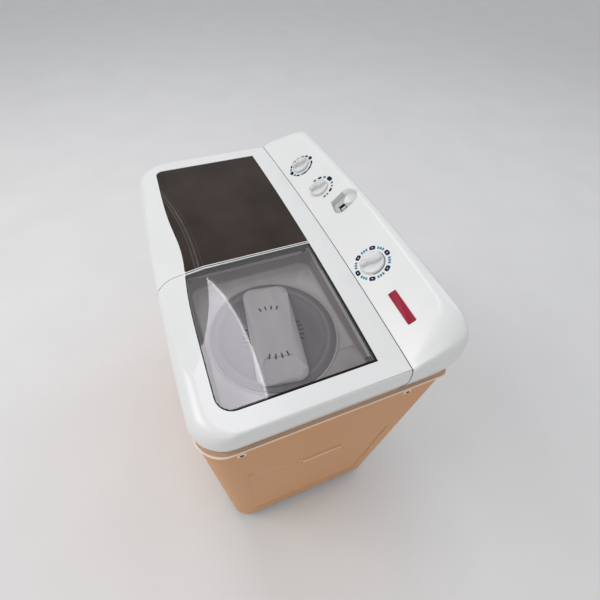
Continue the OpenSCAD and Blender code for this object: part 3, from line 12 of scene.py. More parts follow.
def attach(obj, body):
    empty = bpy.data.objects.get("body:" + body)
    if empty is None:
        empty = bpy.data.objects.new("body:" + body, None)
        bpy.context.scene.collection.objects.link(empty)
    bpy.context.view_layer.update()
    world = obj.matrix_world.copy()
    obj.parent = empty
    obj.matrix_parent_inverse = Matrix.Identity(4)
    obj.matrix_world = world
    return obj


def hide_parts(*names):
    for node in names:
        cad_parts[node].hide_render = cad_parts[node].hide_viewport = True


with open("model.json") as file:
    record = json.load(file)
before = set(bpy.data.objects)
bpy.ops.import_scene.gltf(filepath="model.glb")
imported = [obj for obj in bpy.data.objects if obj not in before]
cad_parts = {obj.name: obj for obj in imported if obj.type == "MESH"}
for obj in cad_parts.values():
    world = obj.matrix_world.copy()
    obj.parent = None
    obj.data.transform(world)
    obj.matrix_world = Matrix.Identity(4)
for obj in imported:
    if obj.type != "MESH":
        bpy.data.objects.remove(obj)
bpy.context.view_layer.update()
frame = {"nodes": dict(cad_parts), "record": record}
nodes = frame["nodes"]
body_of = {n: b for b, ns in frame["record"]["behaviour"]["bodies"].items() for n in ns}

# Main lines of the machine, in metres

HALF_W = 0.380
DECK = max((nodes["wash_lid"].matrix_world @ v.co).z for v in nodes["wash_lid"].data.vertices)
FRONT, FRONT_BOW = -0.242, 0.009
REAR, REAR_R = 0.242, 0.032
SEAM, SEAM_BOW = 0.1355, 0.010
SPLIT = 0.041
TOUCH = 0.0003

# Windows of the lids; their front line swings back near the split

WINDOW_BACK, BACK_BOW = 0.088, 0.0085
WINDOW_FRONT, WINDOW_BOW = -0.187, 0.003
SWING, SWING_X, SWING_W = 0.012, -0.020, 0.095
WASH_WINDOW = (-0.337, 0.0375)
SPIN_WINDOW = (0.0445, 0.341)

# Rounded rim of the top mouldings and the skirt below it

ROUND_H, ROUND_D = 0.035, 0.034
SHOULDER = 0.008
RIM_R = 0.060
SKIRT = 0.075
TAPER, FRONT_TAPER, TAPER_BEND = 0.008, 0.003, 1.4

# Finger dip, part of a wide cylinder that slopes down to the front edge

DIP = math.radians(8.65)
DIP_Y = FRONT + 0.102
WASH_DIP_R, SPIN_DIP_R = 5.3, 2.55

# Sloping face of the panel, with places on it as (across, up the slope from the seam)

FACE_SLOPE = 0.72
FACE = math.atan(FACE_SLOPE)
UP_Y, UP_Z = math.cos(FACE), math.sin(FACE)
WASH_DIAL, DRAIN_DIAL, SPIN_DIAL = (-0.202, 0.0465), (-0.095, 0.048), (0.162, 0.042)
KNOB_R = 0.024
LEAF_X, LEAF_S, LEAF_H = (-0.085, 0.030), (0.006, 0.082), (-0.0135, -0.0003)
SEAM_W = 0.0015


def seam_y(x):
    return SEAM - SEAM_BOW * (x / HALF_W) ** 2


def window_back(x):
    return WINDOW_BACK - BACK_BOW * (x / HALF_W) ** 2


def window_front(x):
    swing = SWING * math.exp(-((x - SWING_X) / SWING_W) ** 2)
    return WINDOW_FRONT + WINDOW_BOW * (x / HALF_W) ** 2 + swing


def front_y(x):
    return FRONT + FRONT_BOW * (x / HALF_W) ** 2


def dip_z(x, y, r):
    """Height of the top where the finger dip passes, or the deck's height beside it."""
    line = DECK - (DIP_Y - y) * math.tan(DIP)
    return min(DECK, line + (r - math.sqrt(r * r - (x - SPLIT) ** 2)) / math.cos(DIP))


def on_face(x, s, h=0.0):
    """Point of the panel's sloping face: across, up the slope from the seam, and out of the face."""
    return Vector((x, seam_y(x) + TOUCH + s * UP_Y - h * UP_Z, DECK + s * UP_Z + h * UP_Y))


# Camera, placed over the lids as the photographer stood

EYE, EYE_H = (0.52664, -0.17142), 0.49393
AIM = (68.24, 50.79, 1.77)
PHOTO, FOCAL, CENTRE = 600, 338.44, (278.65, 292.68)
SENSOR = 36


def camera():
    """Turned by azimuth, elevation and roll in degrees; the focal length and the centre are in pixels."""
    az, el, roll = (math.radians(v) for v in AIM)
    back = Vector((math.sin(az) * math.cos(el), -math.cos(az) * math.cos(el), math.sin(el)))
    right = (-back).cross(Vector((0, 0, 1))).normalized()
    up = right.cross(-back)
    r = right * math.cos(roll) + up * math.sin(roll)
    u = -right * math.sin(roll) + up * math.cos(roll)
    data = bpy.data.cameras.new("camera")
    data.sensor_width = SENSOR
    data.lens = SENSOR * FOCAL / PHOTO
    data.shift_x = (PHOTO / 2 - CENTRE[0]) / PHOTO
    data.shift_y = (CENTRE[1] - PHOTO / 2) / PHOTO
    data.clip_start = 0.01
    cam = bpy.data.objects.new("camera", data)
    bpy.context.scene.collection.objects.link(cam)
    m = Matrix((r, u, back)).transposed().to_4x4()
    m.translation = Vector((*EYE, DECK + EYE_H))
    cam.matrix_world = m
    bpy.context.scene.camera = cam


camera()


# Helpers for node trees

def calculator(t):
    """Gives a function that adds a maths node to a node tree and gives its result."""
    def step(kind, a, b=0.0):
        node = t.nodes.new("ShaderNodeMath")
        node.operation = kind
        for socket, v in zip(node.inputs, (a, b)):
            if hasattr(v, "links"):
                t.links.new(v, socket)
            else:
                socket.default_value = v
        return node.outputs["Value"]
    return step


def scaled(t, value, low, high, start, end):
    """Carries a value from the range low to high over to the range start to end, and stops at its ends."""
    node = t.nodes.new("ShaderNodeMapRange")
    for key, v in (("From Min", low), ("From Max", high), ("To Min", start), ("To Max", end)):
        node.inputs[key].default_value = v
    t.links.new(value, node.inputs["Value"])
    return node.outputs["Result"]


def noise(t, vector, scale, detail):
    """Adds a noise texture to a node tree and gives its value."""
    node = t.nodes.new("ShaderNodeTexNoise")
    node.inputs["Scale"].default_value = scale
    node.inputs["Detail"].default_value = detail
    t.links.new(vector, node.inputs["Vector"])
    return node.outputs["Fac"]


def position(m):
    """X, Y and Z on the piece that carries a material, as sockets."""
    t = m.node_tree
    split = t.nodes.new("ShaderNodeSeparateXYZ")
    t.links.new(t.nodes["Texture Coordinate"].outputs["Object"], split.inputs["Vector"])
    return [split.outputs[axis] for axis in "XYZ"]


def tint(m, color, amount):
    """Mixes a colour over a material's own, by the amount that a socket gives."""
    t = m.node_tree
    base = t.nodes["Principled BSDF"].inputs["Base Color"]
    mix = t.nodes.new("ShaderNodeMix")
    mix.data_type = "RGBA"
    t.links.new(amount, mix.inputs["Factor"])
    t.links.new(base.links[0].from_socket, mix.inputs["A"])
    mix.inputs["B"].default_value = (*color, 1)
    t.links.new(mix.outputs["Result"], base)


# Materials

def material(name, color, rough, spread=0.03, scale=35.0, bump=0.02, bump_scale=400.0, **sockets):
    """Moulded or cast surface: slow colour changes, uneven gloss and a fine bump."""
    m = bpy.data.materials.new(name)
    m.use_nodes = True
    t = m.node_tree
    shader = t.nodes["Principled BSDF"]
    place = t.nodes.new("ShaderNodeTexCoord").outputs["Object"]
    slow = noise(t, place, scale, 4)
    ramp = t.nodes.new("ShaderNodeValToRGB")
    for stop, spot, change in zip(ramp.color_ramp.elements, (0.3, 0.7), (1 - spread, 1 + spread)):
        stop.position = spot
        stop.color = [min(1, max(0, c * change)) for c in color] + [1]
    t.links.new(slow, ramp.inputs["Fac"])
    t.links.new(ramp.outputs["Color"], shader.inputs["Base Color"])
    t.links.new(scaled(t, slow, 0, 1, rough * 0.85, min(1.0, rough * 1.2)), shader.inputs["Roughness"])
    if bump:
        push = t.nodes.new("ShaderNodeBump")
        push.inputs["Strength"].default_value = bump
        push.inputs["Distance"].default_value = 0.001
        t.links.new(noise(t, place, bump_scale, 3), push.inputs["Height"])
        t.links.new(push.outputs["Normal"], shader.inputs["Normal"])
    for key, value in sockets.items():
        shader.inputs[key.replace("_", " ")].default_value = value
    return m


def smoked(name, color, haze, gloss, spread=0.10, rough=0.04):
    """Smoked clear plastic: dark tint with faint wipe marks, under a gloss that grows at flat angles."""
    m = material(name, color, 0.3, spread=spread, scale=7.0, bump=0.0)
    t = m.node_tree
    n, link = t.nodes, t.links
    shader = n["Principled BSDF"]
    step = calculator(t)
    stretch = n.new("ShaderNodeMapping")
    stretch.inputs["Scale"].default_value = (0.35, 3.0, 1.0)
    stretch.inputs["Rotation"].default_value = (0, 0, 0.9)
    link.new(n["Texture Coordinate"].outputs["Object"], stretch.inputs["Vector"])
    streaks = noise(t, stretch.outputs["Vector"], 14, 6)
    link.new(scaled(t, streaks, 0.35, 0.75, haze, min(1.0, haze + 0.04)), shader.inputs["Alpha"])
    shader.inputs["Specular IOR Level"].default_value = 0.0
    mirror = n.new("ShaderNodeBsdfGlossy")
    mirror.inputs["Roughness"].default_value = rough
    edge = n.new("ShaderNodeFresnel")
    edge.inputs["IOR"].default_value = 1.49
    outside = step("SUBTRACT", 1.0, n.new("ShaderNodeNewGeometry").outputs["Backfacing"])
    share = step("MULTIPLY", step("MULTIPLY", edge.outputs["Fac"], gloss), outside)
    share.node.use_clamp = True
    both = n.new("ShaderNodeMixShader")
    link.new(share, both.inputs["Fac"])
    link.new(shader.outputs["BSDF"], both.inputs[1])
    link.new(mirror.outputs["BSDF"], both.inputs[2])
    link.new(both.outputs["Shader"], n["Material Output"].inputs["Surface"])
    return m


def paint_dip_reflections(m, color, lines):
    """Painted reflection: pale curved streaks along the edge of the finger dip, each given as offset, slant,
    width and strength.
    """
    t = m.node_tree
    step = calculator(t)
    x, y, _ = position(m)
    across = step("SUBTRACT", x, SPLIT)
    bow = step("MULTIPLY", step("MULTIPLY", across, across), 1 / (2 * WASH_DIP_R * math.sin(DIP)))
    into = step("SUBTRACT", step("SUBTRACT", DIP_Y, y), bow)
    total = None
    for offset, slant, width, strength in lines:
        line = step("ADD", step("MULTIPLY", across, slant), offset)
        off = step("ABSOLUTE", step("SUBTRACT", into, line))
        peak = step("MAXIMUM", step("SUBTRACT", 1.0, step("DIVIDE", off, width)), 0.0)
        band = step("MULTIPLY", peak, strength)
        total = band if total is None else step("MAXIMUM", total, band)
    patches = noise(t, t.nodes["Texture Coordinate"].outputs["Object"], 22, 2)
    tint(m, color, step("MULTIPLY", total, patches))
    return m


def dark_border(m, width, soft=0.0006, dull=0.75):
    """Dark border of the spin lid along the panel and the right side, where its seal shows through."""
    t = m.node_tree
    step = calculator(t)
    x, y, _ = position(m)
    bow = step("MULTIPLY", step("MULTIPLY", x, x), BACK_BOW / HALF_W ** 2)
    to_panel = step("SUBTRACT", step("SUBTRACT", WINDOW_BACK, bow), y)
    to_side = step("SUBTRACT", SPIN_WINDOW[1], x)
    level = scaled(t, step("MINIMUM", to_panel, to_side), width - soft, width, 1.0, 0.0)
    haze = t.nodes["Principled BSDF"].inputs["Alpha"]
    t.links.new(step("MAXIMUM", haze.links[0].from_socket, level), haze)
    tint(m, (0.010, 0.010, 0.010), level)
    gloss = t.nodes["Mix Shader"].inputs["Fac"]
    kept = step("SUBTRACT", 1.0, step("MULTIPLY", level, dull))
    t.links.new(step("MULTIPLY", gloss.links[0].from_socket, kept), gloss)
    return m


def paint_depth_shade(m, color, dark_at, own_at):
    """Painted shade: blends a piece from a darker colour at one height to its own at another, for the shade
    seen through a lid.
    """
    tint(m, color, scaled(m.node_tree, position(m)[2], dark_at, own_at, 1.0, 0.0))
    return m


white = material("white_gloss", (0.79, 0.795, 0.78), 0.30, spread=0.015, scale=12, bump=0.015,
                 Coat_Weight=0.2, Coat_Roughness=0.20)
# Matt grey painted as the shade in the leaf-shaped recess round the lever.
leaf_painted_shade = material("leaf_painted_shade", (0.50, 0.52, 0.495), 0.6, spread=0.03, bump=0.03)
knob_white = material("knob_white", (0.72, 0.725, 0.72), 0.32, spread=0.03, bump=0.02)
tub_white = material("tub_white", (0.74, 0.735, 0.725), 0.35, spread=0.03, bump=0.03)
# Painted shade: the tray is darker toward its upper walls, and the inner cover is darker in its sunk dish
# than on its bar.
tray_white = paint_depth_shade(material("tray_white", (0.64, 0.62, 0.615), 0.35, spread=0.04, bump=0.03),
                         (0.30, 0.265, 0.255), DECK - 0.046, DECK - 0.054)
cover_white = paint_depth_shade(material("cover_translucent", (0.66, 0.63, 0.64), 0.30, spread=0.03, bump=0.02),
                          (0.165, 0.155, 0.165), DECK - 0.0562, DECK - 0.0532)
tan = material("cabinet_tan", (0.66, 0.338, 0.156), 0.45, spread=0.03, scale=5, bump=0.03,
               Specular_IOR_Level=0.15)
# Pale tan painted as the highlight on the cabinet's ledge and on the rings round the rim screws.
edge_highlight_tan = material("cabinet_edge_painted_highlight", (0.95, 0.78, 0.65), 0.3, spread=0.05, bump=0.02)
base_black = material("base_black", (0.035, 0.035, 0.037), 0.55, bump=0.1)
rubber = material("rubber_black", (0.022, 0.022, 0.022), 0.75, bump=0.2, bump_scale=900)
seal_black = material("seal_black", (0.010, 0.010, 0.010), 0.6)
plastic_black = material("plastic_black", (0.03, 0.03, 0.032), 0.45)
# Lighter tan painted as the highlight on the grip's lip and on the step along the cabinet's sides.
lip_highlight_tan = material("cabinet_lip_painted_highlight", (0.82, 0.53, 0.34), 0.4, spread=0.05, bump=0.02)
tan_shade = material("cabinet_tan_shade", (0.60, 0.37, 0.235), 0.5, spread=0.06, scale=9, bump=0.03)
# The rim screws are painted nearly black, as the shade inside the rings that hold them.
screw_dark = material("screw_dark", (0.05, 0.048, 0.045), 0.4, Metallic=0.6)
steel = material("steel_bright", (0.55, 0.56, 0.57), 0.30, Metallic=1.0)
motor_metal = material("motor_metal", (0.33, 0.34, 0.35), 0.45, Metallic=0.8)
cast = material("cast_light", (0.50, 0.51, 0.52), 0.50, bump=0.25, Metallic=0.9)
grey_sheet = material("cover_grey", (0.50, 0.50, 0.50), 0.45)
basket_white = material("basket_plastic", (0.66, 0.69, 0.72), 0.30)
duct_grey = material("duct_grey", (0.12, 0.125, 0.13), 0.5)
filter_blue = material("filter_blue", (0.30, 0.46, 0.56), 0.4)
film_can = material("film_can", (0.62, 0.62, 0.58), 0.4)
# The pale streaks in the wash lid's finger dip are a painted reflection of a window.
wash_smoke = paint_dip_reflections(
    smoked("wash_smoke", (0.042, 0.030, 0.023), 0.86, 0.65, spread=0.35, rough=0.08), (0.19, 0.185, 0.175),
    [(0.0100, 0.053, 0.0034, 0.95), (0.0172, 0.055, 0.0024, 0.75), (0.0012, 0.045, 0.0012, 0.55)])
spin_smoke = dark_border(smoked("spin_smoke", (0.080, 0.064, 0.062), 0.12, 3.0), 0.0044)
smoke_edge = material("smoke_edge", (0.020, 0.018, 0.017), 0.25, spread=0.2, scale=160, bump=0.02)
seam_grey = material("seam_grey", (0.030, 0.030, 0.032), 0.6)
navy = material("print_navy", (0.004, 0.010, 0.050), 0.5, Specular_IOR_Level=0.15)
teal = material("print_teal", (0.015, 0.20, 0.30), 0.4)
# Black print ink, also used for the painted shadow arc beside the spin knob.
ink_and_knob_shadow = material("print_black_and_knob_shadow", (0.006, 0.006, 0.010), 0.5, Specular_IOR_Level=0.15)
crimson = material("badge_crimson", (0.33, 0.008, 0.035), 0.35, spread=0.08, scale=60,
                   Specular_IOR_Level=0.25)

finish = {
    "wash_frame": white, "spin_frame": white, "control_panel": white, "panel_rear_cover": white,
    "wash_lid": wash_smoke, "spin_lid": spin_smoke,
    "wash_timer_knob": knob_white, "drain_selector_knob": knob_white, "spin_timer_knob": knob_white,
    "inlet_lever": knob_white, "cabinet": tan, "base_plate": base_black, "feet": rubber,
    "back_cover": grey_sheet, "back_cover_screws": steel, "rim_screws": screw_dark, "panel_screws": steel,
    "wash_lid_pins": plastic_black, "spin_lid_pins": plastic_black, "lid_switch": plastic_black,
    "wash_timer": plastic_black, "drain_selector": plastic_black, "spin_timer": plastic_black,
    "water_channel": tub_white, "water_inlet": plastic_black, "wash_tub": tub_white,
    "overflow_duct": tub_white, "lint_filter": filter_blue, "pulsator": basket_white,
    "pulsator_shaft": steel, "wash_pulley": cast, "gear_housing": cast, "motor_bracket": motor_metal,
    "wash_motor": motor_metal, "motor_pulley": plastic_black, "drive_belt": rubber,
    "drain_valve_body": duct_grey, "drain_plug": rubber, "drain_spigot": plastic_black,
    "spin_drain_pipe": duct_grey, "spin_well": tray_white, "spin_inner_cover": cover_white,
    "spin_tub": tub_white, "spin_basket": basket_white, "spin_shaft": steel, "shaft_seal": rubber,
    "brake_drum": motor_metal, "brake_lever": motor_metal, "spin_motor": cast,
    "spin_motor_plate": motor_metal, "spin_motor_springs": rubber, "capacitors": film_can,
    "cable_gland": plastic_black,
}


# True normals of the curved mouldings, which their facets only approach

def rim_skin(p):
    """Distance from the outer skin of the top mouldings, and its normal there."""
    sin_a = min(1.0, max(0.0, 1 - (DECK - p.z) / ROUND_H))
    cos_a = math.sqrt(1 - sin_a * sin_a)
    inset, w, r = ROUND_D * (1 - cos_a), HALF_W - SHOULDER * (1 - cos_a), RIM_R - SHOULDER * (1 - cos_a)
    cx = w - r
    cy = front_y(cx) + inset + r
    side = math.copysign(1, p.x)
    if abs(p.x) > cx and p.y < cy:
        dx, dy = abs(p.x) - cx, p.y - cy
        d = math.hypot(dx, dy) or 1e-9
        gap, nx, ny = d - r, side * dx / d, dy / d
    elif p.y < cy:
        slope = 2 * FRONT_BOW * p.x / HALF_W ** 2
        k = math.hypot(slope, 1)
        gap, nx, ny = (front_y(p.x) + inset - p.y) / k, slope / k, -1 / k
    else:
        gap, nx, ny = abs(p.x) - w, side, 0.0
    grow = SHOULDER + abs(ny) * (ROUND_D - SHOULDER)
    return gap * max(cos_a, 0.2), Vector((nx * cos_a, ny * cos_a, grow * sin_a / ROUND_H)).normalized()


def deck_skin(p):
    """Distance from the flat deck, and its normal."""
    return p.z - DECK, Vector((0, 0, 1))


def dip_skin(radius):
    """Gives a function for the distance from the finger dip, and its normal."""
    axis = Vector((0, -math.cos(DIP), -math.sin(DIP)))
    centre = Vector((SPLIT, DIP_Y, DECK)) + radius * Vector((0, -math.sin(DIP), math.cos(DIP)))

    def skin(p):
        out = p - centre
        out -= axis * out.dot(axis)
        return out.length - radius, -out.normalized()
    return skin


def smooth_table(rows):
    """Monotone curve through a table's rows, level at its first row."""
    xs, ys = np.array(rows, float).T
    h = np.diff(xs)
    d = np.diff(ys) / h
    slopes = np.zeros(len(xs))
    for i in range(1, len(xs) - 1):
        if d[i - 1] * d[i] > 0:
            w0, w1 = 2 * h[i] + h[i - 1], h[i] + 2 * h[i - 1]
            slopes[i] = (w0 + w1) / (w0 / d[i - 1] + w1 / d[i])
    slopes[-1] = d[-1]

    def value(x):
        i = int(np.clip(np.searchsorted(xs, x) - 1, 0, len(h) - 1))
        t = (x - xs[i]) / h[i]
        return ((1 + 2 * t) * (1 - t) ** 2 * ys[i] + t * (1 - t) ** 2 * h[i] * slopes[i]
                + t * t * (3 - 2 * t) * ys[i + 1] + t * t * (t - 1) * h[i] * slopes[i + 1])
    return value


# Height of the face's top line and of the crest over the deck, by distance from the middle, in millimetres

face_top = smooth_table([(0, 58.5), (116, 56.8), (207, 55), (284, 53.3), (301, 51.5), (319, 43), (332, 33),
                         (345, 21), (356, 9), (363, 3), (372, 2), (376, -3), (379, -16), (380, -33)])
crest = smooth_table([(0, 61.5), (116, 60.4), (207, 59), (284, 57.4), (301, 56.5), (319, 53.5), (332, 49.5),
                      (345, 42.5), (356, 35), (363, 29), (372, 18), (376, 9), (379, -1), (380, -8)])

# Rounding of the panel's ends, bow of its back and the bend behind its crest, in millimetres too

END_ROUND = 8
REAR_BOW = 4
BEND_H, BEND_D = 16, 12


def panel_line(x, reach=3.1):
    """The panel's section at x: bottom of the back, over the crest, down the face, bottom of the front."""
    width, round_h, skirt = (round(v * 1000) for v in (HALF_W, ROUND_H, -SKIRT))
    a = abs(x) * 1000
    side = width - a
    edge = math.acos(1 - side / END_ROUND) if side < END_ROUND else math.pi / 2
    foot = -round_h * (1 - math.sin(edge))
    top, high = face_top(a), crest(a)
    y0 = (seam_y(x) + TOUCH) * 1000
    y1 = y0 + (top - foot) / FACE_SLOPE
    corner = y1 + (high - top) / FACE_SLOPE
    r = REAR_R * 1000
    inner = min(a, width - r)
    turn = math.sqrt(max(0, r * r - max(0, a - width + r) ** 2))
    back = REAR * 1000 - REAR_BOW * (inner / width) ** 2 - r + turn
    y2 = min(y1 + reach * (high - top), back - BEND_D)

    def bend(p, q, r, t):
        return [(1 - t) ** 2 * i + 2 * t * (1 - t) * j + t * t * k for i, j, k in zip(p, q, r)]
    line = [[back, skirt + (high - BEND_H - skirt) * i / 8] for i in range(8)]
    line += [bend((back, high - BEND_H), (back, high), (y2, high), i / 14) for i in range(15)]
    line += [bend((y2, high), (corner, high), (y1, top), i / 14) for i in range(1, 15)]
    line += [[y1 + (y0 - y1) * i / 30, top + (foot - top) * i / 30] for i in range(1, 31)]
    line += [[y0, foot - 0.05], [y0, foot - 5], [y0, foot - 15], [y0, skirt]]
    return [(x, y / 1000, DECK + z / 1000) for y, z in line]


def panel_skin(middle=0.29, end=0.09):
    """Points of the panel's true surface with their normals, closer together at its ends."""
    stations = [i / 50 * middle for i in range(50)] + [middle + end * i / 120 for i in range(121)]
    stations = [-x for x in reversed(stations[1:])] + stations
    grid = np.array([panel_line(x) for x in stations])
    across = np.gradient(grid, axis=0)
    along = np.gradient(grid, axis=1)
    n = np.cross(across, along)
    n /= np.maximum(np.linalg.norm(n, axis=2, keepdims=True), 1e-12)
    on_the_face = 50
    if n[len(stations) // 2, on_the_face, 2] < 0:
        n = -n
    points, normals = grid.reshape(-1, 3), n.reshape(-1, 3)
    tree = KDTree(len(points))
    for i, q in enumerate(points):
        tree.insert(q, i)
    tree.balance()
    return tree, points, normals


def shade(obj, skins, tolerance=0.0008, agree=0.93):
    """Gives each face that lies on one of the skins that skin's own normals."""
    mesh = obj.data
    custom = [(0.0, 0.0, 0.0)] * len(mesh.loops)
    for face in mesh.polygons:
        spots = [mesh.vertices[i].co for i in face.vertices]
        for skin in skins:
            found = [skin(p) for p in spots]
            if all(abs(gap) < tolerance and n.dot(face.normal) > agree for gap, n in found):
                for i, (gap, n) in zip(face.loop_indices, found):
                    custom[i] = tuple(n)
                break
    mesh.normals_split_custom_set(custom)


def shade_panel(obj, reach=0.0042, tolerance=0.0006, agree=0.86, wall=0.97, per_metre=40):
    """Gives the panel's faces the normals of its true surface, but not the flat walls toward the sides."""
    tree, points, normals = panel_skin()
    mesh = obj.data
    custom = [(0.0, 0.0, 0.0)] * len(mesh.loops)
    for face in mesh.polygons:
        if abs(face.normal.x) > wall:
            continue
        chosen = []
        for i in face.vertices:
            spot = np.array(mesh.vertices[i].co)
            near = [(normals[k], d) for co, k, d in tree.find_n(mesh.vertices[i].co, 12)
                    if d < reach and abs(float(np.dot(spot - points[k], normals[k]))) < tolerance]
            if not near:
                break
            n, d = max(near, key=lambda f: float(np.dot(f[0], face.normal)) - per_metre * f[1])
            if float(np.dot(n, face.normal)) < agree:
                break
            chosen.append(tuple(float(v) for v in n))
        if len(chosen) == len(face.vertices):
            for i, n in zip(face.loop_indices, chosen):
                custom[i] = n
    mesh.normals_split_custom_set(custom)


# Pieces carried over from the frame

skins_of = {
    "wash_frame": [deck_skin, dip_skin(WASH_DIP_R), rim_skin],
    "spin_frame": [deck_skin, dip_skin(SPIN_DIP_R), rim_skin],
    "wash_lid": [deck_skin, dip_skin(WASH_DIP_R)],
    "spin_lid": [deck_skin, dip_skin(SPIN_DIP_R)],
}


def darken_edge(mesh):
    """A lid's turned-down edge, seen through its depth, looks nearly black."""
    mesh.materials.append(smoke_edge)
    for face in mesh.polygons:
        if abs(face.normal.z) < 0.5 and face.center.z < DECK - 0.0005:
            face.material_index = 1


def shade_leaf(mesh):
    """The leaf-shaped recess round the lever is painted a matt grey, as the shade inside it."""
    mesh.materials.append(leaf_painted_shade)
    for face in mesh.polygons:
        x, y, z = face.center
        dy, dz = y - seam_y(x) - TOUCH, z - DECK
        s, h = dy * UP_Y + dz * UP_Z, dz * UP_Y - dy * UP_Z
        inside = all(low < v < high for v, (low, high) in ((x, LEAF_X), (s, LEAF_S), (h, LEAF_H)))
        if inside and face.normal.z > -0.1 and face.normal.y * UP_Z - face.normal.z * UP_Y < 0.3:
            face.material_index = 1


def draw_in_skirt(mesh, shell=0.012):
    """The skirt tapers inward to its lower edge, so the cabinet's shoulder shows below it."""
    cx = HALF_W - RIM_R
    cy = front_y(cx) + RIM_R
    for v in mesh.vertices:
        t = (DECK - ROUND_H - v.co.z) / (SKIRT - ROUND_H)
        if t <= 0:
            continue
        x, y = abs(v.co.x), v.co.y
        side = math.copysign(1, v.co.x)
        if x > cx and y < cy:
            d = math.hypot(x - cx, y - cy) or 1e-9
            gap, nx, ny = d - RIM_R, side * (x - cx) / d, (y - cy) / d
        elif y < cy:
            gap, nx, ny = front_y(x) - y, 0.0, -1.0
        else:
            gap, nx, ny = x - HALF_W, side, 0.0
        if gap > -shell:
            taper = FRONT_TAPER + (TAPER - FRONT_TAPER) * nx * nx
            v.co -= Vector((nx, ny, 0)) * taper * min(1.0, t) ** TAPER_BEND


def dress(name, angle=32):
    """Copy of a frame node with its material and smooth normals, which takes the node's place."""
    mesh = nodes[name].data.copy()
    mesh.materials.clear()
    mesh.materials.append(finish[name])
    bm = bmesh.new()
    bm.from_mesh(mesh)
    bmesh.ops.remove_doubles(bm, verts=bm.verts, dist=2e-5)
    bmesh.ops.dissolve_degenerate(bm, edges=bm.edges, dist=1e-5)
    bm.to_mesh(mesh)
    bm.free()
    mesh.shade_smooth()
    mesh.set_sharp_from_angle(angle=math.radians(angle))
    if name in ("wash_frame", "spin_frame", "control_panel"):
        draw_in_skirt(mesh)
    if name == "control_panel":
        shade_leaf(mesh)
    if name in ("wash_lid", "spin_lid"):
        darken_edge(mesh)
    obj = bpy.data.objects.new("look_" + name, mesh)
    bpy.context.scene.collection.objects.link(obj)
    if name in skins_of:
        shade(obj, skins_of[name])
    elif name == "control_panel":
        shade_panel(obj)
    else:
        even = obj.modifiers.new("even_normals", "WEIGHTED_NORMAL")
        even.weight = 60
        even.keep_sharp = True
    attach(obj, body_of[name])
    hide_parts(name)
    return obj


looks = {name: dress(name) for name in finish}


# Small pieces made here

def piece(name, vertices, faces, mat, body, smooth=False):
    """A closed mesh that rides on a body."""
    mesh = bpy.data.meshes.new(name)
    mesh.from_pydata([tuple(v) for v in vertices], [], faces)
    mesh.materials.append(mat)
    bm = bmesh.new()
    bm.from_mesh(mesh)
    bmesh.ops.recalc_face_normals(bm, faces=bm.faces)
    bm.to_mesh(mesh)
    bm.free()
    if smooth:
        mesh.shade_smooth()
        mesh.set_sharp_from_angle(angle=math.radians(35))
    obj = bpy.data.objects.new(name, mesh)
    bpy.context.scene.collection.objects.link(obj)
    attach(obj, body)
    return obj


def printed(outlines, mat, name, low=-0.00005, high=0.00018):
    """Thin inlays on the panel's face, each outline given as (x, s) points."""
    vertices, faces = [], []
    for outline in outlines:
        k, n = len(vertices), len(outline)
        vertices += [on_face(x, s, low) for x, s in outline] + [on_face(x, s, high) for x, s in outline]
        faces += [[k + n + i for i in range(n)], [k + i for i in reversed(range(n))]]
        faces += [[k + i, k + (i + 1) % n, k + n + (i + 1) % n, k + n + i] for i in range(n)]
    return piece(name, vertices, faces, mat, "machine")


def tile(cx, cs, angle, r, along, across, corner=0.25):
    """Rounded block on a dial's ring, its long side along the ring."""
    a = math.radians(angle)
    mid = (cx + r * math.cos(a), cs + r * math.sin(a))
    t = (-math.sin(a), math.cos(a))
    n = (math.cos(a), math.sin(a))
    pts = []
    c = corner * min(along, across)
    for sx, sy in ((1, 1), (-1, 1), (-1, -1), (1, -1)):
        order = [(1, 0), (0, 1)] if sx * sy > 0 else [(0, 1), (1, 0)]
        for ux, uy in order:
            px = sx * (along / 2 - c * (1 - ux))
            py = sy * (across / 2 - c * (1 - uy))
            pts.append((mid[0] + t[0] * px + n[0] * py, mid[1] + t[1] * px + n[1] * py))
    return pts


def arc_band(cx, cs, r, width, start, end, steps=14):
    """Short pieces of a ring's band between two angles."""
    turns = [math.radians(start + (end - start) * i / steps) for i in range(steps + 1)]
    inner, outer = ([(cx + k * math.cos(a), cs + k * math.sin(a)) for a in turns]
                    for k in (r - width / 2, r + width / 2))
    return [[inner[i], inner[i + 1], outer[i + 1], outer[i]] for i in range(steps)]


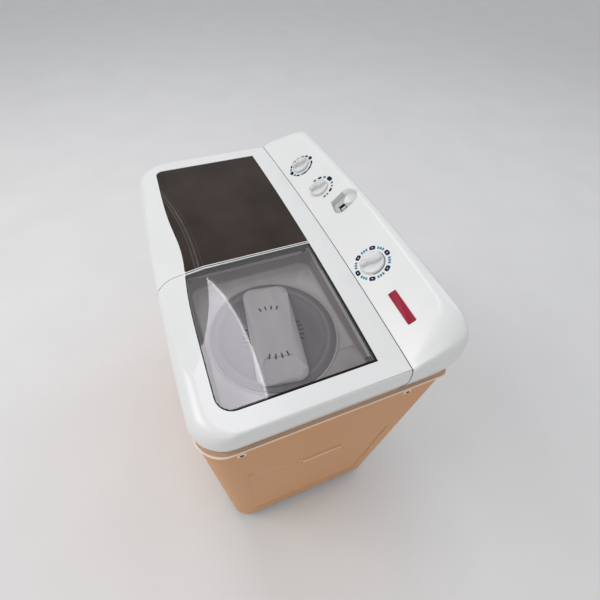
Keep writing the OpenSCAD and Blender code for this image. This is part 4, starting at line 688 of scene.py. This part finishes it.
def dial_marks():
    """Plain blocks round the three dials, by their angle on the dial, and a black arc painted as the shadow
    beside the spin knob.
    """
    dark, pale, black = [], [], []
    sixths, ring = (90, 30, -30, -90, -150, 150), 0.0335
    for a in sixths:
        dark.append(tile(*SPIN_DIAL, a, ring, 0.0122, 0.0088))
    for mid in (60, 0, -60, -120, 180, 120):
        for step in (-9, 0, 9):
            pale.append(tile(*SPIN_DIAL, mid + step, ring, 0.0040, 0.0056))
    # Painted shadow: a thin black arc just outside the spin knob's edge.
    black += arc_band(*SPIN_DIAL, KNOB_R + 0.0009, 0.0011, 150, -25, 30)
    for a in (91, -91):
        dark.append(tile(*WASH_DIAL, a, 0.0295, 0.0115, 0.0086))
    for a, kind in ((145, pale), (120, black), (-167, black), (170, pale), (-137, black), (-115, pale),
                    (-65, pale), (-44, black), (-20, pale), (-5, black), (12, pale), (27, black), (45, pale),
                    (60, black)):
        kind.append(tile(*WASH_DIAL, a, 0.0292, 0.0092, 0.0050))
    for a, kind, size in ((177, pale, 0.0085), (152, black, 0.0100), (128, pale, 0.0080), (98, dark, 0.0155),
                          (70, pale, 0.0065), (52, pale, 0.0045), (32, black, 0.0100), (10, pale, 0.0050),
                          (-5, pale, 0.0070)):
        kind.append(tile(*DRAIN_DIAL, a, 0.031, size, 0.0100 if kind is dark else 0.0058))
    printed(dark, navy, "dial_marks_navy")
    printed(pale, teal, "dial_marks_teal")
    printed(black, ink_and_knob_shadow, "dial_marks_black_and_knob_shadow")
    centres = [tile(*SPIN_DIAL, a, ring, 0.0028, 0.0016) for a in sixths]
    printed(centres, white, "dial_marks_centres", 0.0, 0.00026)


dial_marks()


def badge():
    """Bare crimson plate with rounded corners and a raised rim."""
    x0, x1, s0, s1, r = 0.237, 0.3065, 0.032, 0.048, 0.0022
    pts = []
    corners = ((x1 - r, s1 - r, 0), (x0 + r, s1 - r, 90), (x0 + r, s0 + r, 180), (x1 - r, s0 + r, 270))
    for cx, cs, a0 in corners:
        for i in range(7):
            a = math.radians(a0 + 15 * i)
            pts.append((cx + r * math.cos(a), cs + r * math.sin(a)))
    mid = ((x0 + x1) / 2, (s0 + s1) / 2)

    def ring(shrink, h):
        out = []
        for x, s in pts:
            k = 1 - shrink / math.hypot(x - mid[0], s - mid[1])
            out.append(on_face(mid[0] + (x - mid[0]) * k, mid[1] + (s - mid[1]) * k, h))
        return out

    section = ((0, -0.0001), (0, 0.0006), (0.0003, 0.0009), (0.0008, 0.0009), (0.0011, 0.0007))
    rings = [ring(shrink, h) for shrink, h in section]
    n = len(pts)
    vertices = [v for points in rings for v in points]
    faces = [[k * n + i, k * n + (i + 1) % n, (k + 1) * n + (i + 1) % n, (k + 1) * n + i]
             for k in range(len(rings) - 1) for i in range(n)]
    last = (len(rings) - 1) * n
    faces += [[last + i for i in range(n)], [i for i in reversed(range(n))]]
    piece("badge_plate", vertices, faces, crimson, "machine", smooth=True)


badge()


def seal(name, x0, x1, r0, r1, radius, thick=0.0007, low=0.0135, sunk=0.0016):
    """Dark strip on the wall of a window, seen as the black line round its lid."""
    line = []
    for i in range(41):
        x = x1 + (x0 - x1) * i / 40
        line.append((x, window_back(x)))
    for i in range(9):
        a = math.radians(180 + 90 * i / 8)
        line.append((x0 + r0 + r0 * math.cos(a), window_front(x0 + r0) + r0 + r0 * math.sin(a)))
    for i in range(1, 60):
        x = x0 + r0 + (x1 - x0 - r0 - r1) * i / 60
        line.append((x, window_front(x)))
    for i in range(9):
        a = math.radians(270 + 90 * i / 8)
        line.append((x1 - r1 + r1 * math.cos(a), window_front(x1 - r1) + r1 + r1 * math.sin(a)))
    n = len(line)
    inner = []
    for i in range(n):
        p, q = Vector(line[i - 1]), Vector(line[(i + 1) % n])
        d = (q - p).normalized()
        inner.append(Vector(line[i]) + Vector((-d.y, d.x)) * thick)
    vertices, faces = [], []
    for (x, y), v in zip(line, inner):
        top = dip_z(x, y, radius) - sunk
        for px, py in ((x, y), (v.x, v.y)):
            vertices += [(px, py, DECK - low), (px, py, top)]
    for i in range(n):
        a, b = 4 * i, 4 * ((i + 1) % n)
        faces += [[a, b, b + 1, a + 1], [a + 2, a + 3, b + 3, b + 2], [a + 1, b + 1, b + 3, a + 3],
                  [a, a + 2, b + 2, b]]
    piece(name, vertices, faces, seal_black, "machine")


seal("wash_window_seal", *WASH_WINDOW, 0.018, 0.004, WASH_DIP_R)
seal("spin_window_seal", *SPIN_WINDOW, 0.004, 0.030, SPIN_DIP_R)


def groove_shadow(w=0.00125, depth=0.004, lift=0.00006, short=0.001, steps=60):
    """Dark filler in the groove between the two top mouldings, a little short of the windows' ends."""
    vertices, faces = [], []
    y0, y1 = window_front(SPLIT) + short, window_back(SPLIT) - short
    for i in range(steps + 1):
        y = y0 + (y1 - y0) * i / steps
        top = dip_z(SPLIT, y, WASH_DIP_R) + lift
        vertices += [(SPLIT - w, y, top - depth), (SPLIT + w, y, top - depth), (SPLIT + w, y, top),
                     (SPLIT - w, y, top)]
    for i in range(steps):
        a = 4 * i
        faces += [[a + k, a + (k + 1) % 4, a + 4 + (k + 1) % 4, a + 4 + k] for k in range(4)]
    faces += [[3, 2, 1, 0], [4 * steps + k for k in range(4)]]
    piece("groove_shadow", vertices, faces, seal_black, "machine")


groove_shadow()


def cabinet_line(inset, tighter=0.006, back_r=0.018, back_step=0.0085):
    """Outline of the cabinet in plan, a given distance inside the top mouldings."""
    w, r = HALF_W - inset, RIM_R - tighter
    back = REAR - inset - back_step
    cy = front_y(w - r) + inset + r

    def corner(x, y, radius, start):
        turns = [math.radians(start + 9 * i) for i in range(11)]
        return [(x + radius * math.cos(a), y + radius * math.sin(a)) for a in turns]

    line = corner(w - back_r, back - back_r, back_r, 0) + corner(back_r - w, back - back_r, back_r, 90)
    line += corner(r - w, cy, r, 180)
    line += [(x, front_y(x) + inset) for x in ((w - r) * (i / 12 - 1) for i in range(1, 24))]
    return line + corner(w - r, cy, r, 270)


def cabinet_ring(name, profile, mat):
    """Closed hoop round the cabinet's top, from a section of (inset, distance below the skirt) points."""
    rings = [[(x, y, DECK - SKIRT - drop) for x, y in cabinet_line(inset)] for inset, drop in profile]
    n, k = len(rings[0]), len(rings)
    vertices = [v for ring in rings for v in ring]
    faces = [[j * n + i, j * n + (i + 1) % n, (j + 1) % k * n + (i + 1) % n, (j + 1) % k * n + i]
             for j in range(k) for i in range(n)]
    piece(name, vertices, faces, mat, "machine", smooth=True)


# Painted shade and highlight: the shoulder ring is a darker tan for the shade under the skirt, and the ledge
# is a pale tan as a highlight along its edge.
cabinet_ring("cabinet_shoulder", [(0.0130, 0.0008), (0.0078, 0.0008), (0.0026, 0.0020), (0.0022, 0.0034),
                                  (0.0060, 0.0060), (0.0130, 0.0060)], tan_shade)
cabinet_ring("cabinet_ledge", [(0.0025, 0.0012), (0.0019, 0.0007), (0.0008, 0.0007), (0.0002, 0.0012),
                               (0.0001, 0.0020), (0.0006, 0.0032), (0.0025, 0.0040)], edge_highlight_tan)


def screw_boss(side, y, label, drop=0.104, face_x=0.375, turns=28):
    """Raised ring round a rim screw, painted pale tan as a highlight, its section given as radius and height
    over the cabinet's side.
    """
    z = DECK - drop
    section = [(0.0046, -0.002), (0.0046, 0.0010), (0.0052, 0.0016), (0.0072, 0.0016), (0.0082, 0.0008),
               (0.0082, -0.002)]
    n = len(section)
    angles = [math.tau * i / turns for i in range(turns)]
    vertices = [(side * (face_x + x), y + r * math.cos(a), z + r * math.sin(a))
                for a in angles for r, x in section]
    faces = [[i * n + j, i * n + (j + 1) % n, (i + 1) % turns * n + (j + 1) % n, (i + 1) % turns * n + j]
             for i in range(turns) for j in range(n)]
    piece("screw_boss_" + label, vertices, faces, edge_highlight_tan, "machine", smooth=True)


for side, hand in ((-1, "left"), (1, "right")):
    for y, end in ((-0.167, "front"), (0.152, "rear")):
        screw_boss(side, y, hand + "_" + end)


def handle_lip(face_x=0.3738, drop=0.3366):
    """Raised lip along the top of the grip recess on both sides, in a lighter tan as a painted highlight,
    its section tapering at both ends.
    """
    section = [(-0.003, 0.0), (0.0034, 0.0), (0.0042, 0.0008), (0.0042, 0.0074), (0.0032, 0.0086),
               (-0.003, 0.0086)]
    for side, label in ((-1, "left"), (1, "right")):
        rings = [[(side * (face_x + x * k), y, DECK - drop + z) for x, z in section]
                 for y, k in ((-0.0415, 0.2), (-0.0390, 1.0), (0.0545, 1.0), (0.0570, 0.2))]
        vertices = [v for ring in rings for v in ring]
        n = len(section)
        faces = [[j * n + i, j * n + (i + 1) % n, (j + 1) * n + (i + 1) % n, (j + 1) * n + i]
                 for j in range(3) for i in range(n)]
        faces += [list(range(n)), [3 * n + i for i in range(n)]]
        piece("handle_lip_" + label, vertices, faces, lip_highlight_tan, "machine")


handle_lip()


# Hairlines where the mouldings meet, and the painted highlight on the step in the cabinet's sides

def hairline(name, points, normals, width, lift=0.00005, mat=seam_grey):
    """Thin ribbon along a joint or an edge, lying on the surface."""
    vertices, faces = [], []
    for i, (p, n) in enumerate(zip(points, normals)):
        ahead = points[min(i + 1, len(points) - 1)] - points[max(i - 1, 0)]
        side = ahead.cross(n).normalized() * width / 2
        vertices += [p + side + n * lift, p - side + n * lift, p - side - n * 0.0003, p + side - n * 0.0003]
    for i in range(len(points) - 1):
        a = 4 * i
        faces += [[a + k, a + (k + 1) % 4, a + 4 + (k + 1) % 4, a + 4 + k] for k in range(4)]
    end = 4 * (len(points) - 1)
    faces += [[3, 2, 1, 0], [end, end + 1, end + 2, end + 3]]
    piece(name, vertices, faces, mat, "machine")


def surface(name):
    """Search tree of a dressed piece, for rays that find its surface."""
    mesh = looks[name].data
    return BVHTree.FromPolygons([v.co for v in mesh.vertices], [f.vertices[:] for f in mesh.polygons])


def side_step():
    """Painted highlight along the edge of the sunk area on the cabinet's sides, sloping down to the grip."""
    tree, outside = surface("cabinet"), 0.40
    path = [(-0.164, DECK - 0.270), (-0.066, DECK - 0.3235), (-0.050, DECK - 0.336)]
    for side, label in ((-1, "left"), (1, "right")):
        points, normals = [], []
        for (y0, z0), (y1, z1) in zip(path, path[1:]):
            for i in range(12):
                spot = Vector((side * outside, y0 + (y1 - y0) * i / 12, z0 + (z1 - z0) * i / 12))
                hit, n, *_ = tree.ray_cast(spot, Vector((-side, 0, 0)))
                points.append(hit)
                normals.append(n)
        hairline("side_step_" + label, points, normals, 0.0016, 0.0013, lip_highlight_tan)


def panel_joint(steps=80):
    """Joint between the panel and the deck, from side to side and down both sides of the machine."""
    flat, shift = HALF_W - SHOULDER, SEAM_W * 0.4
    line = []
    for side in (-1, 1):
        turn = []
        for i in range(13):
            a = math.radians(90 - 7.5 * i)
            x = side * (HALF_W - SHOULDER * (1 - math.cos(a)))
            turn.append((Vector((x, seam_y(x) - shift, DECK - ROUND_H * (1 - math.sin(a)))),
                         Vector((side * math.cos(a) * ROUND_H, 0, math.sin(a) * SHOULDER)).normalized()))
        for i in range(1, 7):
            t = i / 6
            low = DECK - ROUND_H - (SKIRT - ROUND_H - 0.0005) * t
            turn.append((Vector((side * (HALF_W - TAPER * t ** TAPER_BEND), seam_y(HALF_W) - shift, low)),
                         Vector((side, 0, -0.2)).normalized()))
        if side < 0:
            line += reversed(turn)
            line += [(Vector((x, seam_y(x) - shift, DECK)), Vector((0, 0, 1)))
                     for x in (flat * (2 * i / steps - 1) for i in range(1, steps))]
        else:
            line += turn
    hairline("panel_joint", [p for p, n in line], [n for p, n in line], SEAM_W)


def front_joint(r=0.046, start=0.003, aim=(0.034, -0.020)):
    """Curved joint between the two top mouldings, from the windows over the front edge."""
    bend = WINDOW_FRONT - 0.010
    plan = [(SPLIT, window_front(SPLIT) - start - 0.001 * i) for i in range(3)]
    plan += [(SPLIT + r + r * math.cos(a), bend + r * math.sin(a))
             for a in (math.radians(v) for v in range(180, 233, 4))]
    (x0, y0), (x1, y1) = plan[-1], (SPLIT + aim[0], FRONT + aim[1])
    plan += [(x0 + (x1 - x0) * t, y0 + (y1 - y0) * t) for t in (i / 40 for i in range(1, 12))]
    tree = surface("spin_frame")
    points, normals = [], []
    for x, y in plan:
        hit, n, *_ = tree.ray_cast(Vector((x + 0.0008, y, DECK + 0.05)), Vector((0, 0, -1)))
        if hit is None or n.z < 0.05 or hit.z < DECK - ROUND_H:
            break
        points.append(Vector((x, y, hit.z)))
        normals.append(n)
    hairline("front_joint", points, normals, 0.0010)


panel_joint()
front_joint()
side_step()


# Floor, backdrop and light

def crescent_lamps():
    """Ellipse lamp that the spin lid mirrors as a pale crescent, and strips that brighten its edge."""
    middle, half, high = (-1.40, -0.20), (1.65, 0.52), DECK + 3.175
    strip, watts_per_metre = 0.024, 0.28
    lamps = [("crescent", (*middle, high), (*middle, 0.0), (2 * half[0], 2 * half[1]), 27,
              (0.95, 0.93, 1), 0.0)]
    rim = [Vector((middle[0] + half[0] * math.cos(a), middle[1] + half[1] * math.sin(a), high - 0.01))
           for a in (math.radians(v) for v in (160, 145, 128, 110, 92, 76, 62, 50))]
    for i, (p, q) in enumerate(zip(rim, rim[1:])):
        spot, size = (p + q) / 2, (q - p).length
        lamps.append(("crescent_edge_%d" % i, tuple(spot), (spot.x, spot.y, 0.0), (size, strip),
                      watts_per_metre * size, (1, 1, 1), math.atan2(q.y - p.y, q.x - p.x)))
    return lamps


def stage():
    """Floor, sky and lamps; each lamp has its place, aim, size, power, tint and turn."""
    bpy.ops.mesh.primitive_plane_add(size=40, location=(0, 0, 0))
    floor = bpy.context.object
    floor.name = "floor"
    floor.data.materials.append(material("floor_pale", (0.78, 0.78, 0.77), 0.75, spread=0.02, scale=3))
    world = bpy.data.worlds.new("world")
    world.use_nodes = True
    sky = world.node_tree.nodes["Background"]
    sky.inputs["Color"].default_value = (0.95, 0.965, 1.0, 1)
    sky.inputs["Strength"].default_value = 0.55
    bpy.context.scene.world = world
    lamps = crescent_lamps() + [
        ("key", (-0.7, -3.0, 3.6), (0.0, 0.0, 0.6), (2.0, 2.0), 55, (1, 0.985, 0.96), 0.0),
        ("fill", (3.6, -1.6, 2.6), (0, 0, 0.5), (2.0, 2.0), 11, (1, 0.95, 0.90), 0.0),
        ("back", (-0.4, 3.6, 3.2), (0, 0, 0.8), (2.0, 1.6), 16, (0.95, 0.97, 1), 0.0)]
    for name, spot, aim, size, power, color, turn in lamps:
        data = bpy.data.lights.new(name, "AREA")
        data.shape = "ELLIPSE" if name == "crescent" else "RECTANGLE"
        data.size, data.size_y = size
        data.energy = power
        data.color = color
        light = bpy.data.objects.new(name, data)
        light.location = spot
        light.rotation_euler = (Vector(aim) - Vector(spot)).to_track_quat("-Z", "Y").to_euler()
        light.rotation_euler.z += turn
        bpy.context.scene.collection.objects.link(light)


stage()
bpy.context.scene.view_settings.view_transform = "Standard"
